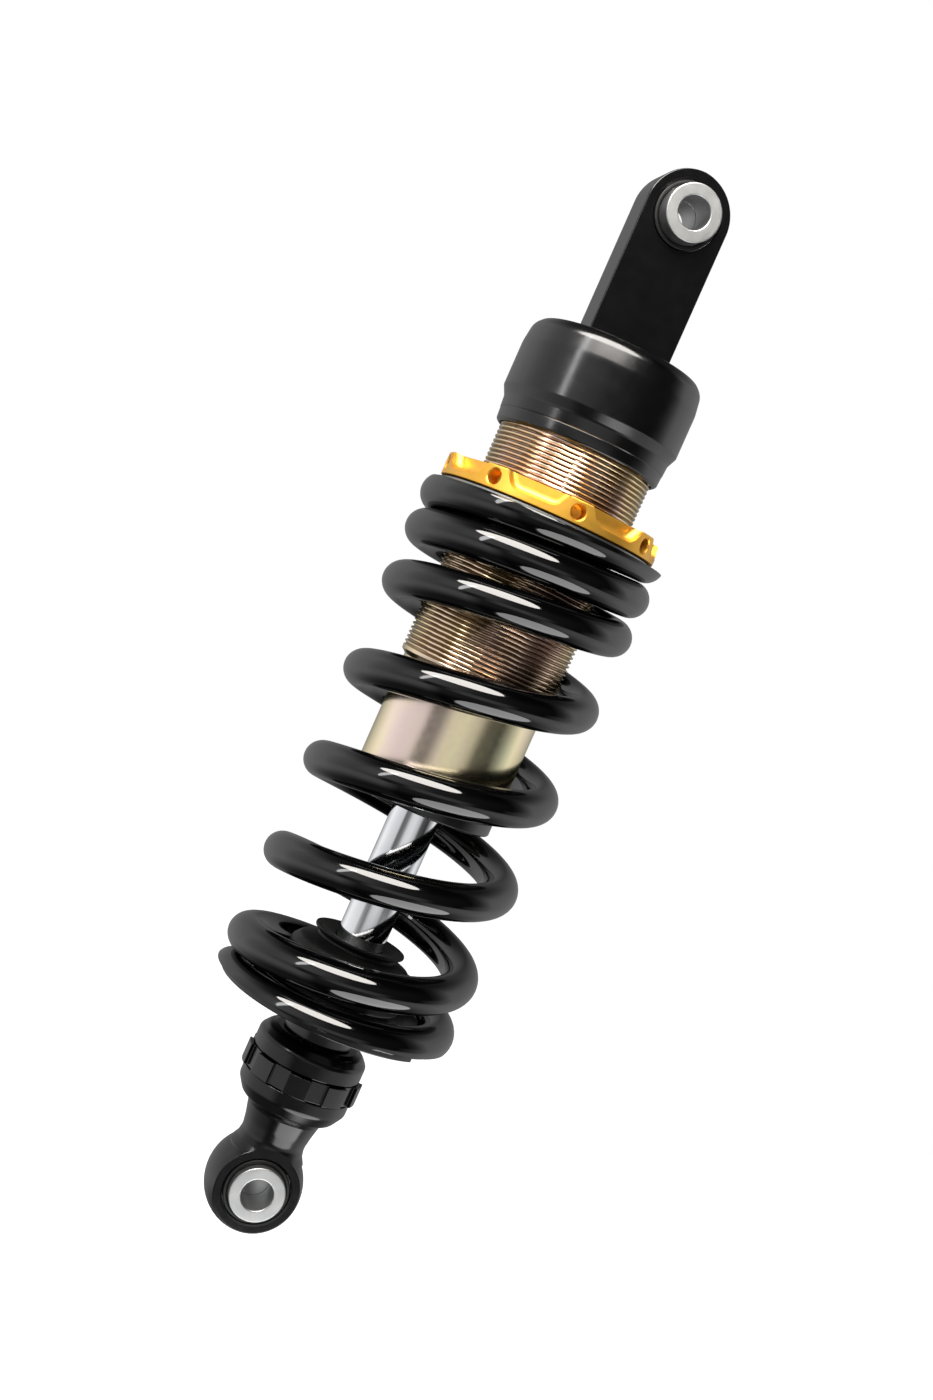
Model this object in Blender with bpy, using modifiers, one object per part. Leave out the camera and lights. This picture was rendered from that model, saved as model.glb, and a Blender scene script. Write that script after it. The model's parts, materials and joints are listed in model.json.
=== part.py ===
"""Motorcycle coilover: a coil spring round an oil damper, hung between two spherical bearings.

The shock stands upright. The origin is the centre of the upper eye, +Z points away from the
spring, and both eye bolts lie along Y, with the front of the shock towards -Y. The damper is
shown fully extended.
"""
import math

import bmesh
import bpy
from mathutils import Matrix, Vector

MM = 0.001
GAP = 0.3 * MM                    # left between pieces that touch on the real object

# Eyes and their M10 spherical bearings
EYE_TO_EYE = 336.0 * MM
BOLT_BORE_R = 5.2 * MM
BALL_R = 8.7 * MM
BALL_HALF_WIDTH = 5.0 * MM
RACE_R = 10.7 * MM
RACE_HALF_WIDTH = 3.5 * MM
CIRCLIP_WIDTH = 1.0 * MM
CIRCLIP_GROOVE_DEPTH = 0.9 * MM
SPACER_R = 9.1 * MM
SPACER_SHANK_R = 5.85 * MM
UPPER_EYE_R = 14.2 * MM
UPPER_FACE_HALF = 6.9 * MM        # half the slab's thickness
UPPER_HALF_WIDTH = 13.0 * MM      # half the width across the two spacers
LOWER_EYE_R = 16.0 * MM           # at the middle of the barrel
LOWER_FACE_R = 13.9 * MM          # at its flat faces
LOWER_FACE_HALF = 9.6 * MM
LOWER_HALF_WIDTH = 11.8 * MM

# Damper body
CAP_R = 29.7 * MM
CAP_TOP_Z = -46.5 * MM
CAP_BOTTOM_Z = -81.0 * MM
THREAD_R = 25.7 * MM
TUBE_R = 24.15 * MM
TUBE_BORE_R = 21.0 * MM
TUBE_TOP_Z = -58.3 * MM
THREAD_END_Z = -159.0 * MM
TUBE_BOTTOM_Z = -198.5 * MM
END_CAP_BOTTOM_Z = -203.0 * MM

# Spring and its perches
SPRING_MEAN_R = 34.6 * MM
WIRE_R = 5.95 * MM
SPRING_TOP_Z = -105.0 * MM
SPRING_BOTTOM_Z = -271.6 * MM
SPRING_TURNS = 7.5
SPRING_START = math.radians(165.0)
COIL_CLEARANCE = 0.15 * MM        # between closed coils
COIL_FOOT_Z = -274.4 * MM         # centreline of the wire before its ends are ground flat
COIL_HEAD_Z = -103.4 * MM
RING_R = 36.5 * MM
RING_TOP_Z = -96.3 * MM
RING_BOTTOM_Z = -103.5 * MM
RING_FEATURES = 8                 # spanner holes, with as many pockets between them
RING_HOLE_ANGLE = math.radians(267.4)
SEAT_R = 38.0 * MM
SEAT_SLOT_HALF = 12.6 * MM
SEAT_SLOT_ANGLE = math.radians(325.0)
KNOB_FLUTE_ANGLE = math.radians(277.0)

# Rod, piston and adjuster
ROD_R = 8.0 * MM
ROD_NECK_R = 5.0 * MM
ROD_BORE_R = 2.2 * MM
ROD_TOP_Z = -146.4 * MM
ROD_SHOULDER_Z = -171.0 * MM
ROD_BOTTOM_Z = -316.0 * MM
BUMP_TOP_Z = -249.6 * MM
CUP_R = 18.4 * MM
CUP_TOP_Z = -284.5 * MM
KNOB_R = 19.7 * MM
KNOB_TOP_Z = -293.2 * MM
KNOB_BOTTOM_Z = -300.0 * MM
KNOB_LOBES = 9
PIN_Z = -296.6 * MM

FINE = 36                         # facets round the large turned pieces
COARSE = 18                       # facets round the small ones


# ---------------------------------------------------------------- building blocks

def collection(name):
    made = bpy.data.collections.new(name)
    bpy.context.scene.collection.children.link(made)
    return made


def material(name, colour, roughness, metallic):
    made = bpy.data.materials.new(name)
    made.use_nodes = True
    shader = made.node_tree.nodes["Principled BSDF"]
    shader.inputs["Base Color"].default_value = (*colour, 1.0)
    shader.inputs["Roughness"].default_value = roughness
    shader.inputs["Metallic"].default_value = metallic
    made.diffuse_color = (*colour, 1.0)
    return made


def new_object(name, data, group, finish=None):
    made = bpy.data.objects.new(name, data)
    group.objects.link(made)
    if finish:
        data.materials.append(finish)
    return made


def lay_along_y(thing, centre_z):
    """Turn a piece made round Z so that its +Z end faces the front, at an eye's height."""
    thing.rotation_euler = (math.pi / 2, 0.0, 0.0)
    thing.location = (0.0, 0.0, centre_z)


def turned(name, points, group, finish=None, facets=COARSE):
    """A turned piece. points are (radius, z), down the outer side and back up the inner one;
    they form a closed loop unless both ends are on the axis."""
    closed = points[0][0] > 0.0
    edges = [(i, i + 1) for i in range(len(points) - 1)]
    if closed:
        edges.append((len(points) - 1, 0))
    mesh = bpy.data.meshes.new(name)
    mesh.from_pydata([(r, 0.0, z) for r, z in points], edges, [])
    made = new_object(name, mesh, group, finish)
    screw = made.modifiers.new("turn", "SCREW")
    screw.steps = screw.render_steps = facets
    screw.use_merge_vertices = True
    screw.merge_threshold = 1e-6
    return made


def ring(name, inner, outer, low, high, group, finish=None, chamfer=0.0, facets=COARSE):
    points = [(outer - chamfer, high), (outer, high - chamfer)] if chamfer else [(outer, high)]
    points += [(outer, low + chamfer), (outer - chamfer, low)] if chamfer else [(outer, low)]
    points += [(inner, low), (inner, high)]
    return turned(name, points, group, finish, facets)


def oring(name, mean_r, wire_r, z, group, finish):
    sides = 6
    points = [(mean_r + wire_r * math.cos(2 * math.pi * i / sides),
               z - wire_r * math.sin(2 * math.pi * i / sides)) for i in range(sides)]
    return turned(name, points, group, finish)


def arc(centre_r, centre_z, radius, start, end, steps):
    """Points of a circular arc in the (radius, z) plane, angles in degrees from +radius."""
    angles = [math.radians(start + (end - start) * i / steps) for i in range(steps + 1)]
    return [(centre_r + radius * math.cos(a), centre_z + radius * math.sin(a)) for a in angles]


def box(name, size, group, placement):
    mesh = bpy.data.meshes.new(name)
    shape = bmesh.new()
    bmesh.ops.create_cube(shape, size=1.0)
    bmesh.ops.scale(shape, vec=Vector(size), verts=shape.verts)
    shape.to_mesh(mesh)
    shape.free()
    made = new_object(name, mesh, group)
    made.matrix_world = placement
    return made


def drill(name, radius, length, group, placement, facets=12):
    mesh = bpy.data.meshes.new(name)
    shape = bmesh.new()
    bmesh.ops.create_cone(shape, cap_ends=True, segments=facets, radius1=radius,
                          radius2=radius, depth=length)
    shape.to_mesh(mesh)
    shape.free()
    made = new_object(name, mesh, group)
    made.matrix_world = placement
    return made


def combine(target, tool, operation):
    """Cut the tool from the target, or join it on, and keep the tool as a hidden guide."""
    step = target.modifiers.new(tool.name, "BOOLEAN")
    step.operation = operation
    step.solver = "EXACT"
    step.object = tool
    tool.hide_render = True
    tool.display_type = "WIRE"


def cut(target, tool):
    combine(target, tool, "DIFFERENCE")


def as_mesh(curve, group, finish=None):
    """Replace a curve object by a mesh object whose end caps are welded on."""
    bpy.context.view_layer.update()
    shape = curve.evaluated_get(bpy.context.evaluated_depsgraph_get())
    mesh = bpy.data.meshes.new_from_object(shape)
    weld = bmesh.new()
    weld.from_mesh(mesh)
    bmesh.ops.remove_doubles(weld, verts=weld.verts, dist=1e-6)
    weld.to_mesh(mesh)
    weld.free()
    name = curve.name
    place = curve.matrix_world.copy()
    bpy.data.objects.remove(curve)
    mesh.materials.clear()
    made = new_object(name, mesh, group, finish)
    made.matrix_world = place
    return made


def wire(name, points, radius, resolution, group):
    data = bpy.data.curves.new(name, "CURVE")
    data.dimensions = "3D"
    data.bevel_depth = radius
    data.bevel_resolution = resolution
    data.use_fill_caps = True
    line = data.splines.new("POLY")
    line.points.add(len(points) - 1)
    for point, place in zip(line.points, points):
        point.co = (*place, 1.0)
    return new_object(name, data, group)


# ---------------------------------------------------------------- the two eyes

def housing_bore(name, group, face_half, centre_z):
    """Cutter for an eye: a through bore with one circlip groove on each side of the race."""
    bore_r = RACE_R + GAP
    groove_r = bore_r + CIRCLIP_GROOVE_DEPTH
    near = RACE_HALF_WIDTH + 0.5 * GAP
    far = RACE_HALF_WIDTH + 2.5 * GAP + CIRCLIP_WIDTH
    end = face_half + 10.0 * MM
    outer = [(0.0, end), (bore_r, end), (bore_r, far), (groove_r, far), (groove_r, near),
             (bore_r, near)]
    outer += [(r, -z) for r, z in reversed(outer)]
    tool = turned(name, outer, group, facets=32)
    lay_along_y(tool, centre_z)
    return tool


def eye_hardware(prefix, centre_z, face_half, half_width, group, cutters, finishes):
    ball_edge = math.degrees(math.asin(BALL_HALF_WIDTH / BALL_R))
    ball = arc(0.0, 0.0, BALL_R, ball_edge, -ball_edge, 4)
    inner = SPACER_SHANK_R + GAP
    ball += [(inner, -BALL_HALF_WIDTH), (inner, BALL_HALF_WIDTH)]
    cage_r = BALL_R + GAP
    cage_edge = math.degrees(math.asin(RACE_HALF_WIDTH / cage_r))
    race = [(RACE_R, RACE_HALF_WIDTH), (RACE_R, -RACE_HALF_WIDTH)]
    race += arc(0.0, 0.0, cage_r, -cage_edge, cage_edge, 4)
    made = [turned(prefix + "_ball", ball, group, finishes["bearing"]),
            turned(prefix + "_race", race, group, finishes["bearing"])]

    clip_low = RACE_HALF_WIDTH + GAP
    clip_out = RACE_R + CIRCLIP_GROOVE_DEPTH
    shoulder = BALL_HALF_WIDTH + GAP
    for side, sign in (("front", 1), ("back", -1)):
        def mirrored(points):
            return points if sign > 0 else [(r, -z) for r, z in reversed(points)]

        clip = [(clip_out, clip_low + CIRCLIP_WIDTH), (clip_out, clip_low),
                (SPACER_R - 0.2 * MM, clip_low), (SPACER_R - 0.2 * MM, clip_low + CIRCLIP_WIDTH)]
        clip = turned(f"{prefix}_circlip_{side}", mirrored(clip), group, finishes["bearing"])
        opening = box(f"{prefix}_clip_gap_{side}", (4.0 * MM, 8.0 * MM, 4.0 * MM),
                      cutters,
                      Matrix.Translation((0.0, -sign * clip_low, centre_z - clip_out)))
        cut(clip, opening)
        seal = [(RACE_R, face_half - GAP), (RACE_R, shoulder),
                (SPACER_R + GAP, shoulder), (SPACER_R + GAP, face_half - GAP)]
        spacer = [(SPACER_R - 0.5 * MM, half_width), (SPACER_R, half_width - 0.5 * MM),
                  (SPACER_R, shoulder), (SPACER_SHANK_R, shoulder),
                  (SPACER_SHANK_R, 0.5 * GAP), (BOLT_BORE_R, 0.5 * GAP),
                  (BOLT_BORE_R, half_width)]
        made += [clip,
                 turned(f"{prefix}_seal_{side}", mirrored(seal), group, finishes["rubber"]),
                 turned(f"{prefix}_spacer_{side}", mirrored(spacer), group, finishes["steel"])]
    for piece in made:
        lay_along_y(piece, centre_z)


# ---------------------------------------------------------------- damper body

def slab_outline(group):
    """The upper eye's flat outline: straight sides, a full round top and fillets at the cap."""
    fillet = 2.5 * MM
    foot = 2.0 * MM
    half = UPPER_EYE_R
    right = [(half + fillet, CAP_TOP_Z - foot), (half + fillet, CAP_TOP_Z)]
    right += [(half + fillet + fillet * math.cos(a), CAP_TOP_Z + fillet + fillet * math.sin(a))
              for a in (math.radians(-120), math.radians(-150), math.radians(-180))]
    top = [(half * math.cos(math.pi * i / 24), half * math.sin(math.pi * i / 24))
           for i in range(25)]
    left = [(-x, z) for x, z in reversed(right)]
    data = bpy.data.curves.new("eye_slab", "CURVE")
    data.dimensions = "2D"
    data.fill_mode = "BOTH"
    data.extrude = UPPER_FACE_HALF
    line = data.splines.new("POLY")
    points = right + top + left
    line.points.add(len(points) - 1)
    for point, (x, z) in zip(line.points, points):
        point.co = (x, z, 0.0, 1.0)
    line.use_cyclic_u = True
    slab = new_object("eye_slab", data, group)
    slab.rotation_euler = (math.pi / 2, 0.0, 0.0)
    return as_mesh(slab, group)


def upper_mount(group, cutters, finishes):
    """Cap screwed over the tube, with the slab eye on top and a spigot inside the tube."""
    inner_r = THREAD_R + 0.35 * MM
    roof_z = TUBE_TOP_Z + GAP
    spigot_r = TUBE_BORE_R - GAP
    spigot_end = -68.0 * MM
    groove_r = 18.4 * MM
    groove_top = -61.5 * MM
    groove_low = -64.5 * MM
    collar_z = -77.0 * MM
    profile = [(0.0, CAP_TOP_Z), (CAP_R - 3.7 * MM, CAP_TOP_Z),
               (CAP_R - 1.4 * MM, CAP_TOP_Z - 1.7 * MM), (CAP_R - 0.3 * MM, CAP_TOP_Z - 4.5 * MM),
               (CAP_R, CAP_TOP_Z - 8.5 * MM), (CAP_R, -69.3 * MM),
               (CAP_R - 1.3 * MM, -72.4 * MM), (CAP_R - 1.9 * MM, collar_z),
               (CAP_R - 2.1 * MM, -80.0 * MM), (CAP_R - 3.0 * MM, CAP_BOTTOM_Z),
               (inner_r, CAP_BOTTOM_Z), (inner_r, roof_z), (spigot_r, roof_z),
               (spigot_r, groove_top), (groove_r, groove_top), (groove_r, groove_low),
               (spigot_r, groove_low), (spigot_r, spigot_end), (0.0, spigot_end)]
    mount = turned("upper_mount", profile, group, finishes["black"], FINE)
    combine(mount, slab_outline(cutters), "UNION")
    cut(mount, housing_bore("upper_bore", cutters, UPPER_FACE_HALF, 0.0))

    port = Vector((0.0, 15.5 * MM, 0.0))
    screw_r = 2.7 * MM
    screw_low = -55.0 * MM
    screw_top = CAP_TOP_Z - 0.7 * MM
    cut(mount, drill("fill_pocket", screw_r + GAP, 2 * (CAP_TOP_Z - screw_low + GAP), cutters,
                     Matrix.Translation(port + Vector((0, 0, CAP_TOP_Z)))))
    cut(mount, drill("fill_passage", 1.2 * MM, 40.0 * MM, cutters,
                     Matrix.Translation(port + Vector((0, 0, -62.0 * MM)))))
    screw = ring("fill_screw", 1.2 * MM, screw_r, screw_low, screw_top, group,
                 finishes["steel"], 0.3 * MM, 12)
    screw.location = port
    oring("cap_oring", 19.9 * MM, 0.9 * MM, 0.5 * (groove_top + groove_low), group,
          finishes["rubber"])


def damper_tube(group, cutters, finishes):
    """Body tube: threaded to where the ring nut can reach, plain below, grooved for a clip."""
    clip_r = 22.5 * MM
    clip_top = -196.3 * MM
    clip_low = -197.7 * MM
    profile = [(THREAD_R - 0.5 * MM, TUBE_TOP_Z), (THREAD_R, TUBE_TOP_Z - 0.5 * MM),
               (THREAD_R, THREAD_END_Z), (TUBE_R, THREAD_END_Z - 1.0 * MM),
               (TUBE_R, TUBE_BOTTOM_Z), (TUBE_BORE_R, TUBE_BOTTOM_Z),
               (TUBE_BORE_R, clip_low), (clip_r, clip_low), (clip_r, clip_top),
               (TUBE_BORE_R, clip_top), (TUBE_BORE_R, TUBE_TOP_Z)]
    turned("damper_tube", profile, group, finishes["zinc"], FINE)

    cover_r = 23.9 * MM
    wiper_r = 11.9 * MM
    spigot_r = TUBE_BORE_R - 0.4 * MM
    spigot_top = -197.9 * MM
    flange = TUBE_BOTTOM_Z - GAP
    floor = END_CAP_BOTTOM_Z + 0.8 * MM
    cover = [(spigot_r, spigot_top), (spigot_r, flange), (cover_r, flange),
             (cover_r, END_CAP_BOTTOM_Z + 0.6 * MM), (cover_r - 0.6 * MM, END_CAP_BOTTOM_Z),
             (ROD_R + 1.0 * MM, END_CAP_BOTTOM_Z), (ROD_R + 1.0 * MM, floor),
             (wiper_r, floor), (wiper_r, spigot_top)]
    turned("tube_end_cap", cover, group, finishes["black"], FINE)
    ring("rod_wiper", ROD_R + GAP, wiper_r - GAP, floor + GAP, spigot_top - GAP, group,
         finishes["rubber"])
    clip = ring("seal_head_circlip", clip_r - 2.3 * MM, clip_r - GAP, clip_low + 0.2 * MM,
                clip_top - 0.2 * MM, group, finishes["steel"], facets=32)
    gap = box("clip_opening", (6.0 * MM, 6.0 * MM, 4.0 * MM), cutters,
              Matrix.Translation((0.0, clip_r, clip_top)))
    cut(clip, gap)


def seal_head(group, finishes):
    """Rod guide at the foot of the tube, with its bush, rod seal and O-ring."""
    top, low = -178.0 * MM, -196.0 * MM
    outer = TUBE_BORE_R - GAP
    groove_r, groove_top, groove_low = 18.4 * MM, -183.5 * MM, -186.5 * MM
    bush_r, bush_top, bush_low = 9.6 * MM, -179.6 * MM, -190.6 * MM
    seal_r, seal_top = 12.4 * MM, -191.0 * MM
    head = [(outer, top), (outer, groove_top), (groove_r, groove_top), (groove_r, groove_low),
            (outer, groove_low), (outer, low), (seal_r, low), (seal_r, seal_top),
            (bush_r, seal_top), (bush_r, bush_top), (ROD_R + 0.6 * MM, bush_top),
            (ROD_R + 0.6 * MM, top)]
    turned("seal_head", head, group, finishes["alloy"])
    ring("guide_bush", ROD_R + GAP, bush_r - GAP, bush_low, bush_top - GAP, group,
         finishes["bronze"])
    ring("rod_seal", ROD_R + GAP, seal_r - GAP, low + 0.5 * MM, seal_top - GAP, group,
         finishes["rubber"])
    oring("seal_head_oring", 19.9 * MM, 0.9 * MM, 0.5 * (groove_top + groove_low), group,
          finishes["rubber"])


def floating_piston(group, finishes):
    """Cup-shaped piston that keeps the gas above it apart from the oil below."""
    top, low = -84.0 * MM, -97.5 * MM
    outer = TUBE_BORE_R - 0.6 * MM
    band_top, band_low = -86.0 * MM, -90.0 * MM
    seal_top, seal_low = -92.0 * MM, -95.0 * MM
    groove_r = 18.4 * MM
    cup_r, cup_floor = 14.0 * MM, -93.0 * MM
    profile = [(0.0, cup_floor), (cup_r, cup_floor), (cup_r, top), (outer, top),
               (outer, band_top), (groove_r, band_top), (groove_r, band_low), (outer, band_low),
               (outer, seal_top), (groove_r, seal_top), (groove_r, seal_low), (outer, seal_low),
               (outer, low), (0.0, low)]
    turned("floating_piston", profile, group, finishes["alloy"])
    ring("floating_piston_band", groove_r + GAP, TUBE_BORE_R - GAP, band_low + GAP,
         band_top - GAP, group, finishes["bronze"])
    oring("floating_piston_oring", 19.9 * MM, 0.8 * MM, 0.5 * (seal_top + seal_low), group,
          finishes["rubber"])


# ---------------------------------------------------------------- rod and piston

def piston_rod(group, cutters, finishes):
    """Hollow chromed rod: a thin neck for the piston, and a slot for the adjuster pin."""
    profile = [(ROD_NECK_R, ROD_TOP_Z), (ROD_NECK_R, ROD_SHOULDER_Z),
               (ROD_R, ROD_SHOULDER_Z), (ROD_R, ROD_BOTTOM_Z + 1.0 * MM),
               (ROD_R - 1.0 * MM, ROD_BOTTOM_Z), (ROD_BORE_R, ROD_BOTTOM_Z),
               (ROD_BORE_R, ROD_TOP_Z)]
    rod = turned("piston_rod", profile, group, finishes["chrome"], 32)
    cut(rod, box("rod_slot", (4 * ROD_R, 2.6 * MM, 5.6 * MM), cutters,
                 Matrix.Translation((0.0, 0.0, PIN_Z))))


def piston_stack(group, cutters, finishes):
    """Piston with its shim stacks, nut and top-out parts, threaded on the rod's neck."""
    bore = ROD_NECK_R + GAP
    washer_low = ROD_SHOULDER_Z + GAP
    washer_top = washer_low + 1.5 * MM
    ring("top_out_washer", bore, 14.0 * MM, washer_low, washer_top, group, finishes["steel"])
    ring("top_out_bumper", ROD_R + GAP, 13.5 * MM, -177.7 * MM, ROD_SHOULDER_Z, group,
         finishes["rubber"], 0.8 * MM)

    shim_top = washer_top + 3.1 * MM
    steps = 3
    small, large = 8.5 * MM, 13.0 * MM
    rise = (shim_top - washer_top - GAP) / steps

    def shims(name, wide_end, narrow_end):
        stair = []
        height = (wide_end - narrow_end) / steps
        for i in range(steps):
            radius = large - (large - small) * i / (steps - 1)
            stair += [(radius, wide_end - height * i), (radius, wide_end - height * (i + 1))]
        if wide_end < narrow_end:
            stair.reverse()
        low, high = min(wide_end, narrow_end), max(wide_end, narrow_end)
        turned(name, stair + [(bore, low), (bore, high)], group, finishes["steel"])

    shims("compression_shims", shim_top, shim_top - steps * rise)
    piston_low = shim_top + GAP
    piston_top = piston_low + 11.0 * MM
    body_r = TUBE_BORE_R - 0.6 * MM
    groove_r = 18.9 * MM
    band_low, band_top = piston_low + 1.8 * MM, piston_top - 2.2 * MM
    profile = [(body_r, piston_top), (body_r, band_top), (groove_r, band_top),
               (groove_r, band_low), (body_r, band_low), (body_r, piston_low),
               (bore, piston_low), (bore, piston_top)]
    piston = turned("piston", profile, group, finishes["alloy"])
    ports = 6
    for i in range(ports):
        angle = 2 * math.pi * i / ports
        place = Matrix.Translation((11.0 * MM * math.cos(angle), 11.0 * MM * math.sin(angle),
                                    0.5 * (piston_low + piston_top)))
        cut(piston, drill(f"piston_port_{i}", 2.2 * MM, 20.0 * MM, cutters, place, 8))
    ring("piston_band", groove_r + GAP, TUBE_BORE_R - GAP, band_low + GAP, band_top - GAP,
         group, finishes["bronze"])
    rebound_low = piston_top + GAP
    rebound_top = rebound_low + steps * rise
    shims("rebound_shims", rebound_low, rebound_top)
    nut_height = 4.5 * MM
    place = Matrix.Translation((0.0, 0.0, rebound_top + GAP + 0.5 * nut_height))
    nut = drill("piston_nut", 8.7 * MM, nut_height, group, place, 6)
    nut.data.materials.append(finishes["steel"])
    cut(nut, drill("nut_bore", bore, 2 * nut_height, cutters, place, COARSE))


def metering(group, finishes):
    """Tapered needle in the hollow rod, resting on the cross pin that the knob lifts."""
    pin_r = 1.0 * MM
    needle_r = ROD_BORE_R - GAP
    foot = PIN_Z + pin_r + GAP
    profile = [(0.0, -149.5 * MM), (0.6 * MM, -149.5 * MM), (needle_r, -156.0 * MM),
               (needle_r, foot), (0.0, foot)]
    turned("metering_rod", profile, group, finishes["steel"], 12)
    pin = drill("adjuster_pin", pin_r, 29.0 * MM, group,
                Matrix.Translation((0.0, 0.0, PIN_Z)) @ Matrix.Rotation(math.pi / 2, 4, "Y"))
    pin.data.materials.append(finishes["steel"])


def bump_stop(group, finishes):
    """Rubber cone with a dished top disc, a groove under it and a flared foot."""
    bore = ROD_R + GAP
    foot_z = -267.6 * MM
    profile = [(13.5 * MM, BUMP_TOP_Z), (15.35 * MM, BUMP_TOP_Z - 0.4 * MM),
               (15.0 * MM, BUMP_TOP_Z - 1.3 * MM), (13.0 * MM, BUMP_TOP_Z - 2.4 * MM),
               (14.0 * MM, BUMP_TOP_Z - 3.6 * MM), (19.0 * MM, BUMP_TOP_Z - 5.4 * MM),
               (20.8 * MM, BUMP_TOP_Z - 8.0 * MM), (21.0 * MM, foot_z), (bore, foot_z),
               (bore, BUMP_TOP_Z - 1.4 * MM)]
    turned("bump_stop", profile, group, finishes["rubber"], 32)


# ---------------------------------------------------------------- lower end

def spring_seat(group, cutters, finishes):
    """Slotted plate: a rim under the spring, a centring upstand and a hub on the collar."""
    top = SPRING_BOTTOM_Z - GAP
    hub_low = -278.6 * MM
    upstand_r = 28.2 * MM
    upstand_top = -267.0 * MM
    pocket_r, pocket_z = 22.5 * MM, -268.0 * MM
    profile = [(pocket_r, upstand_top), (upstand_r - 1.0 * MM, upstand_top),
               (upstand_r, upstand_top - 1.0 * MM), (upstand_r, top), (SEAT_R - 0.4 * MM, top),
               (SEAT_R, top - 0.4 * MM), (SEAT_R, top - 1.9 * MM), (26.0 * MM, top - 4.0 * MM),
               (18.0 * MM, top - 4.0 * MM), (18.0 * MM, hub_low), (12.0 * MM, hub_low),
               (12.0 * MM, pocket_z), (pocket_r, pocket_z)]
    seat = turned("spring_seat", profile, group, finishes["black"], FINE)
    length = 60.0 * MM
    turn = Matrix.Rotation(SEAT_SLOT_ANGLE, 4, "Z")
    cut(seat, box("seat_slot", (length, 2 * SEAT_SLOT_HALF, 30.0 * MM), cutters,
                  turn @ Matrix.Translation((0.5 * length, 0.0, -272.0 * MM))))
    collar_r = 11.7 * MM
    ring("seat_collar", ROD_R + GAP, collar_r, CUP_TOP_Z + GAP, pocket_z + 0.2 * MM, group,
         finishes["black"], 0.4 * MM)


def adjuster(group, cutters, finishes):
    """Upper cup and lobed knob of the rebound adjuster, with the knob's click parts."""
    sleeve_r = 13.0 * MM
    cup_low = KNOB_TOP_Z + GAP
    cup = [(CUP_R - 4.4 * MM, CUP_TOP_Z), (CUP_R - 2.6 * MM, CUP_TOP_Z - 0.4 * MM),
           (CUP_R - 1.0 * MM, CUP_TOP_Z - 1.6 * MM), (CUP_R, CUP_TOP_Z - 3.6 * MM),
           (CUP_R, cup_low), (ROD_R + GAP, cup_low), (ROD_R + GAP, CUP_TOP_Z)]
    turned("adjuster_cup", cup, group, finishes["black"], FINE)

    track_r = 15.2 * MM
    track_top, track_low = KNOB_TOP_Z - 0.7 * MM, KNOB_BOTTOM_Z + 0.7 * MM
    inner = sleeve_r + GAP
    profile = [(KNOB_R, KNOB_TOP_Z), (KNOB_R, KNOB_BOTTOM_Z), (inner, KNOB_BOTTOM_Z),
               (inner, track_low), (track_r, track_low), (track_r, track_top),
               (inner, track_top), (inner, KNOB_TOP_Z)]
    knob = turned("rebound_knob", profile, group, finishes["black"], 36)
    recess = 5.8 * MM
    depth = 1.2 * MM
    for i in range(KNOB_LOBES):
        turn = Matrix.Rotation(2 * math.pi * i / KNOB_LOBES + KNOB_FLUTE_ANGLE, 4, "Z")
        cut(knob, box(f"knob_recess_{i}", (4.0 * MM, recess, 10.0 * MM), cutters,
                      turn @ Matrix.Translation((KNOB_R - depth + 2.0 * MM, 0.0, PIN_Z))))
    return sleeve_r


def detent(group, finishes, radius):
    """Ball and spring in a blind hole under the knob."""
    ball_r = 1.2 * MM
    ball_z = KNOB_BOTTOM_Z - GAP - ball_r
    outline = [(0.0, ball_r)] + arc(0.0, 0.0, ball_r, 60, -60, 4) + [(0.0, -ball_r)]
    ball = turned("detent_ball", outline, group, finishes["steel"], 12)
    ball.location = (0.0, radius, ball_z)
    coils, per_turn = 3.0, 10
    low, high = -305.6 * MM, ball_z - ball_r - 0.5 * MM
    count = int(coils * per_turn)
    points = []
    for i in range(count + 1):
        angle = 2 * math.pi * i / per_turn
        points.append((0.9 * MM * math.cos(angle), 0.9 * MM * math.sin(angle),
                       low + (high - low) * i / count))
    spring = wire("detent_spring", points, 0.2 * MM, 0, group)
    spring = as_mesh(spring, group, finishes["steel"])
    spring.location = (0.0, radius, 0.0)


def eye_barrel(cutters, centre):
    """The lower eye's crowned barrel, turned about the bolt and left long for facing."""
    steps = 8
    half = LOWER_FACE_HALF + 0.6 * MM
    points = [(0.0, half)]
    for i in range(steps + 1):
        along = (1.0 - 2.0 * i / steps) * half
        crown = (LOWER_EYE_R - LOWER_FACE_R) * (along / LOWER_FACE_HALF) ** 2
        points.append((LOWER_EYE_R - crown, along))
    points.append((0.0, -half))
    barrel = turned("eye_barrel", points, cutters, facets=FINE)
    lay_along_y(barrel, centre)
    return barrel


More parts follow.
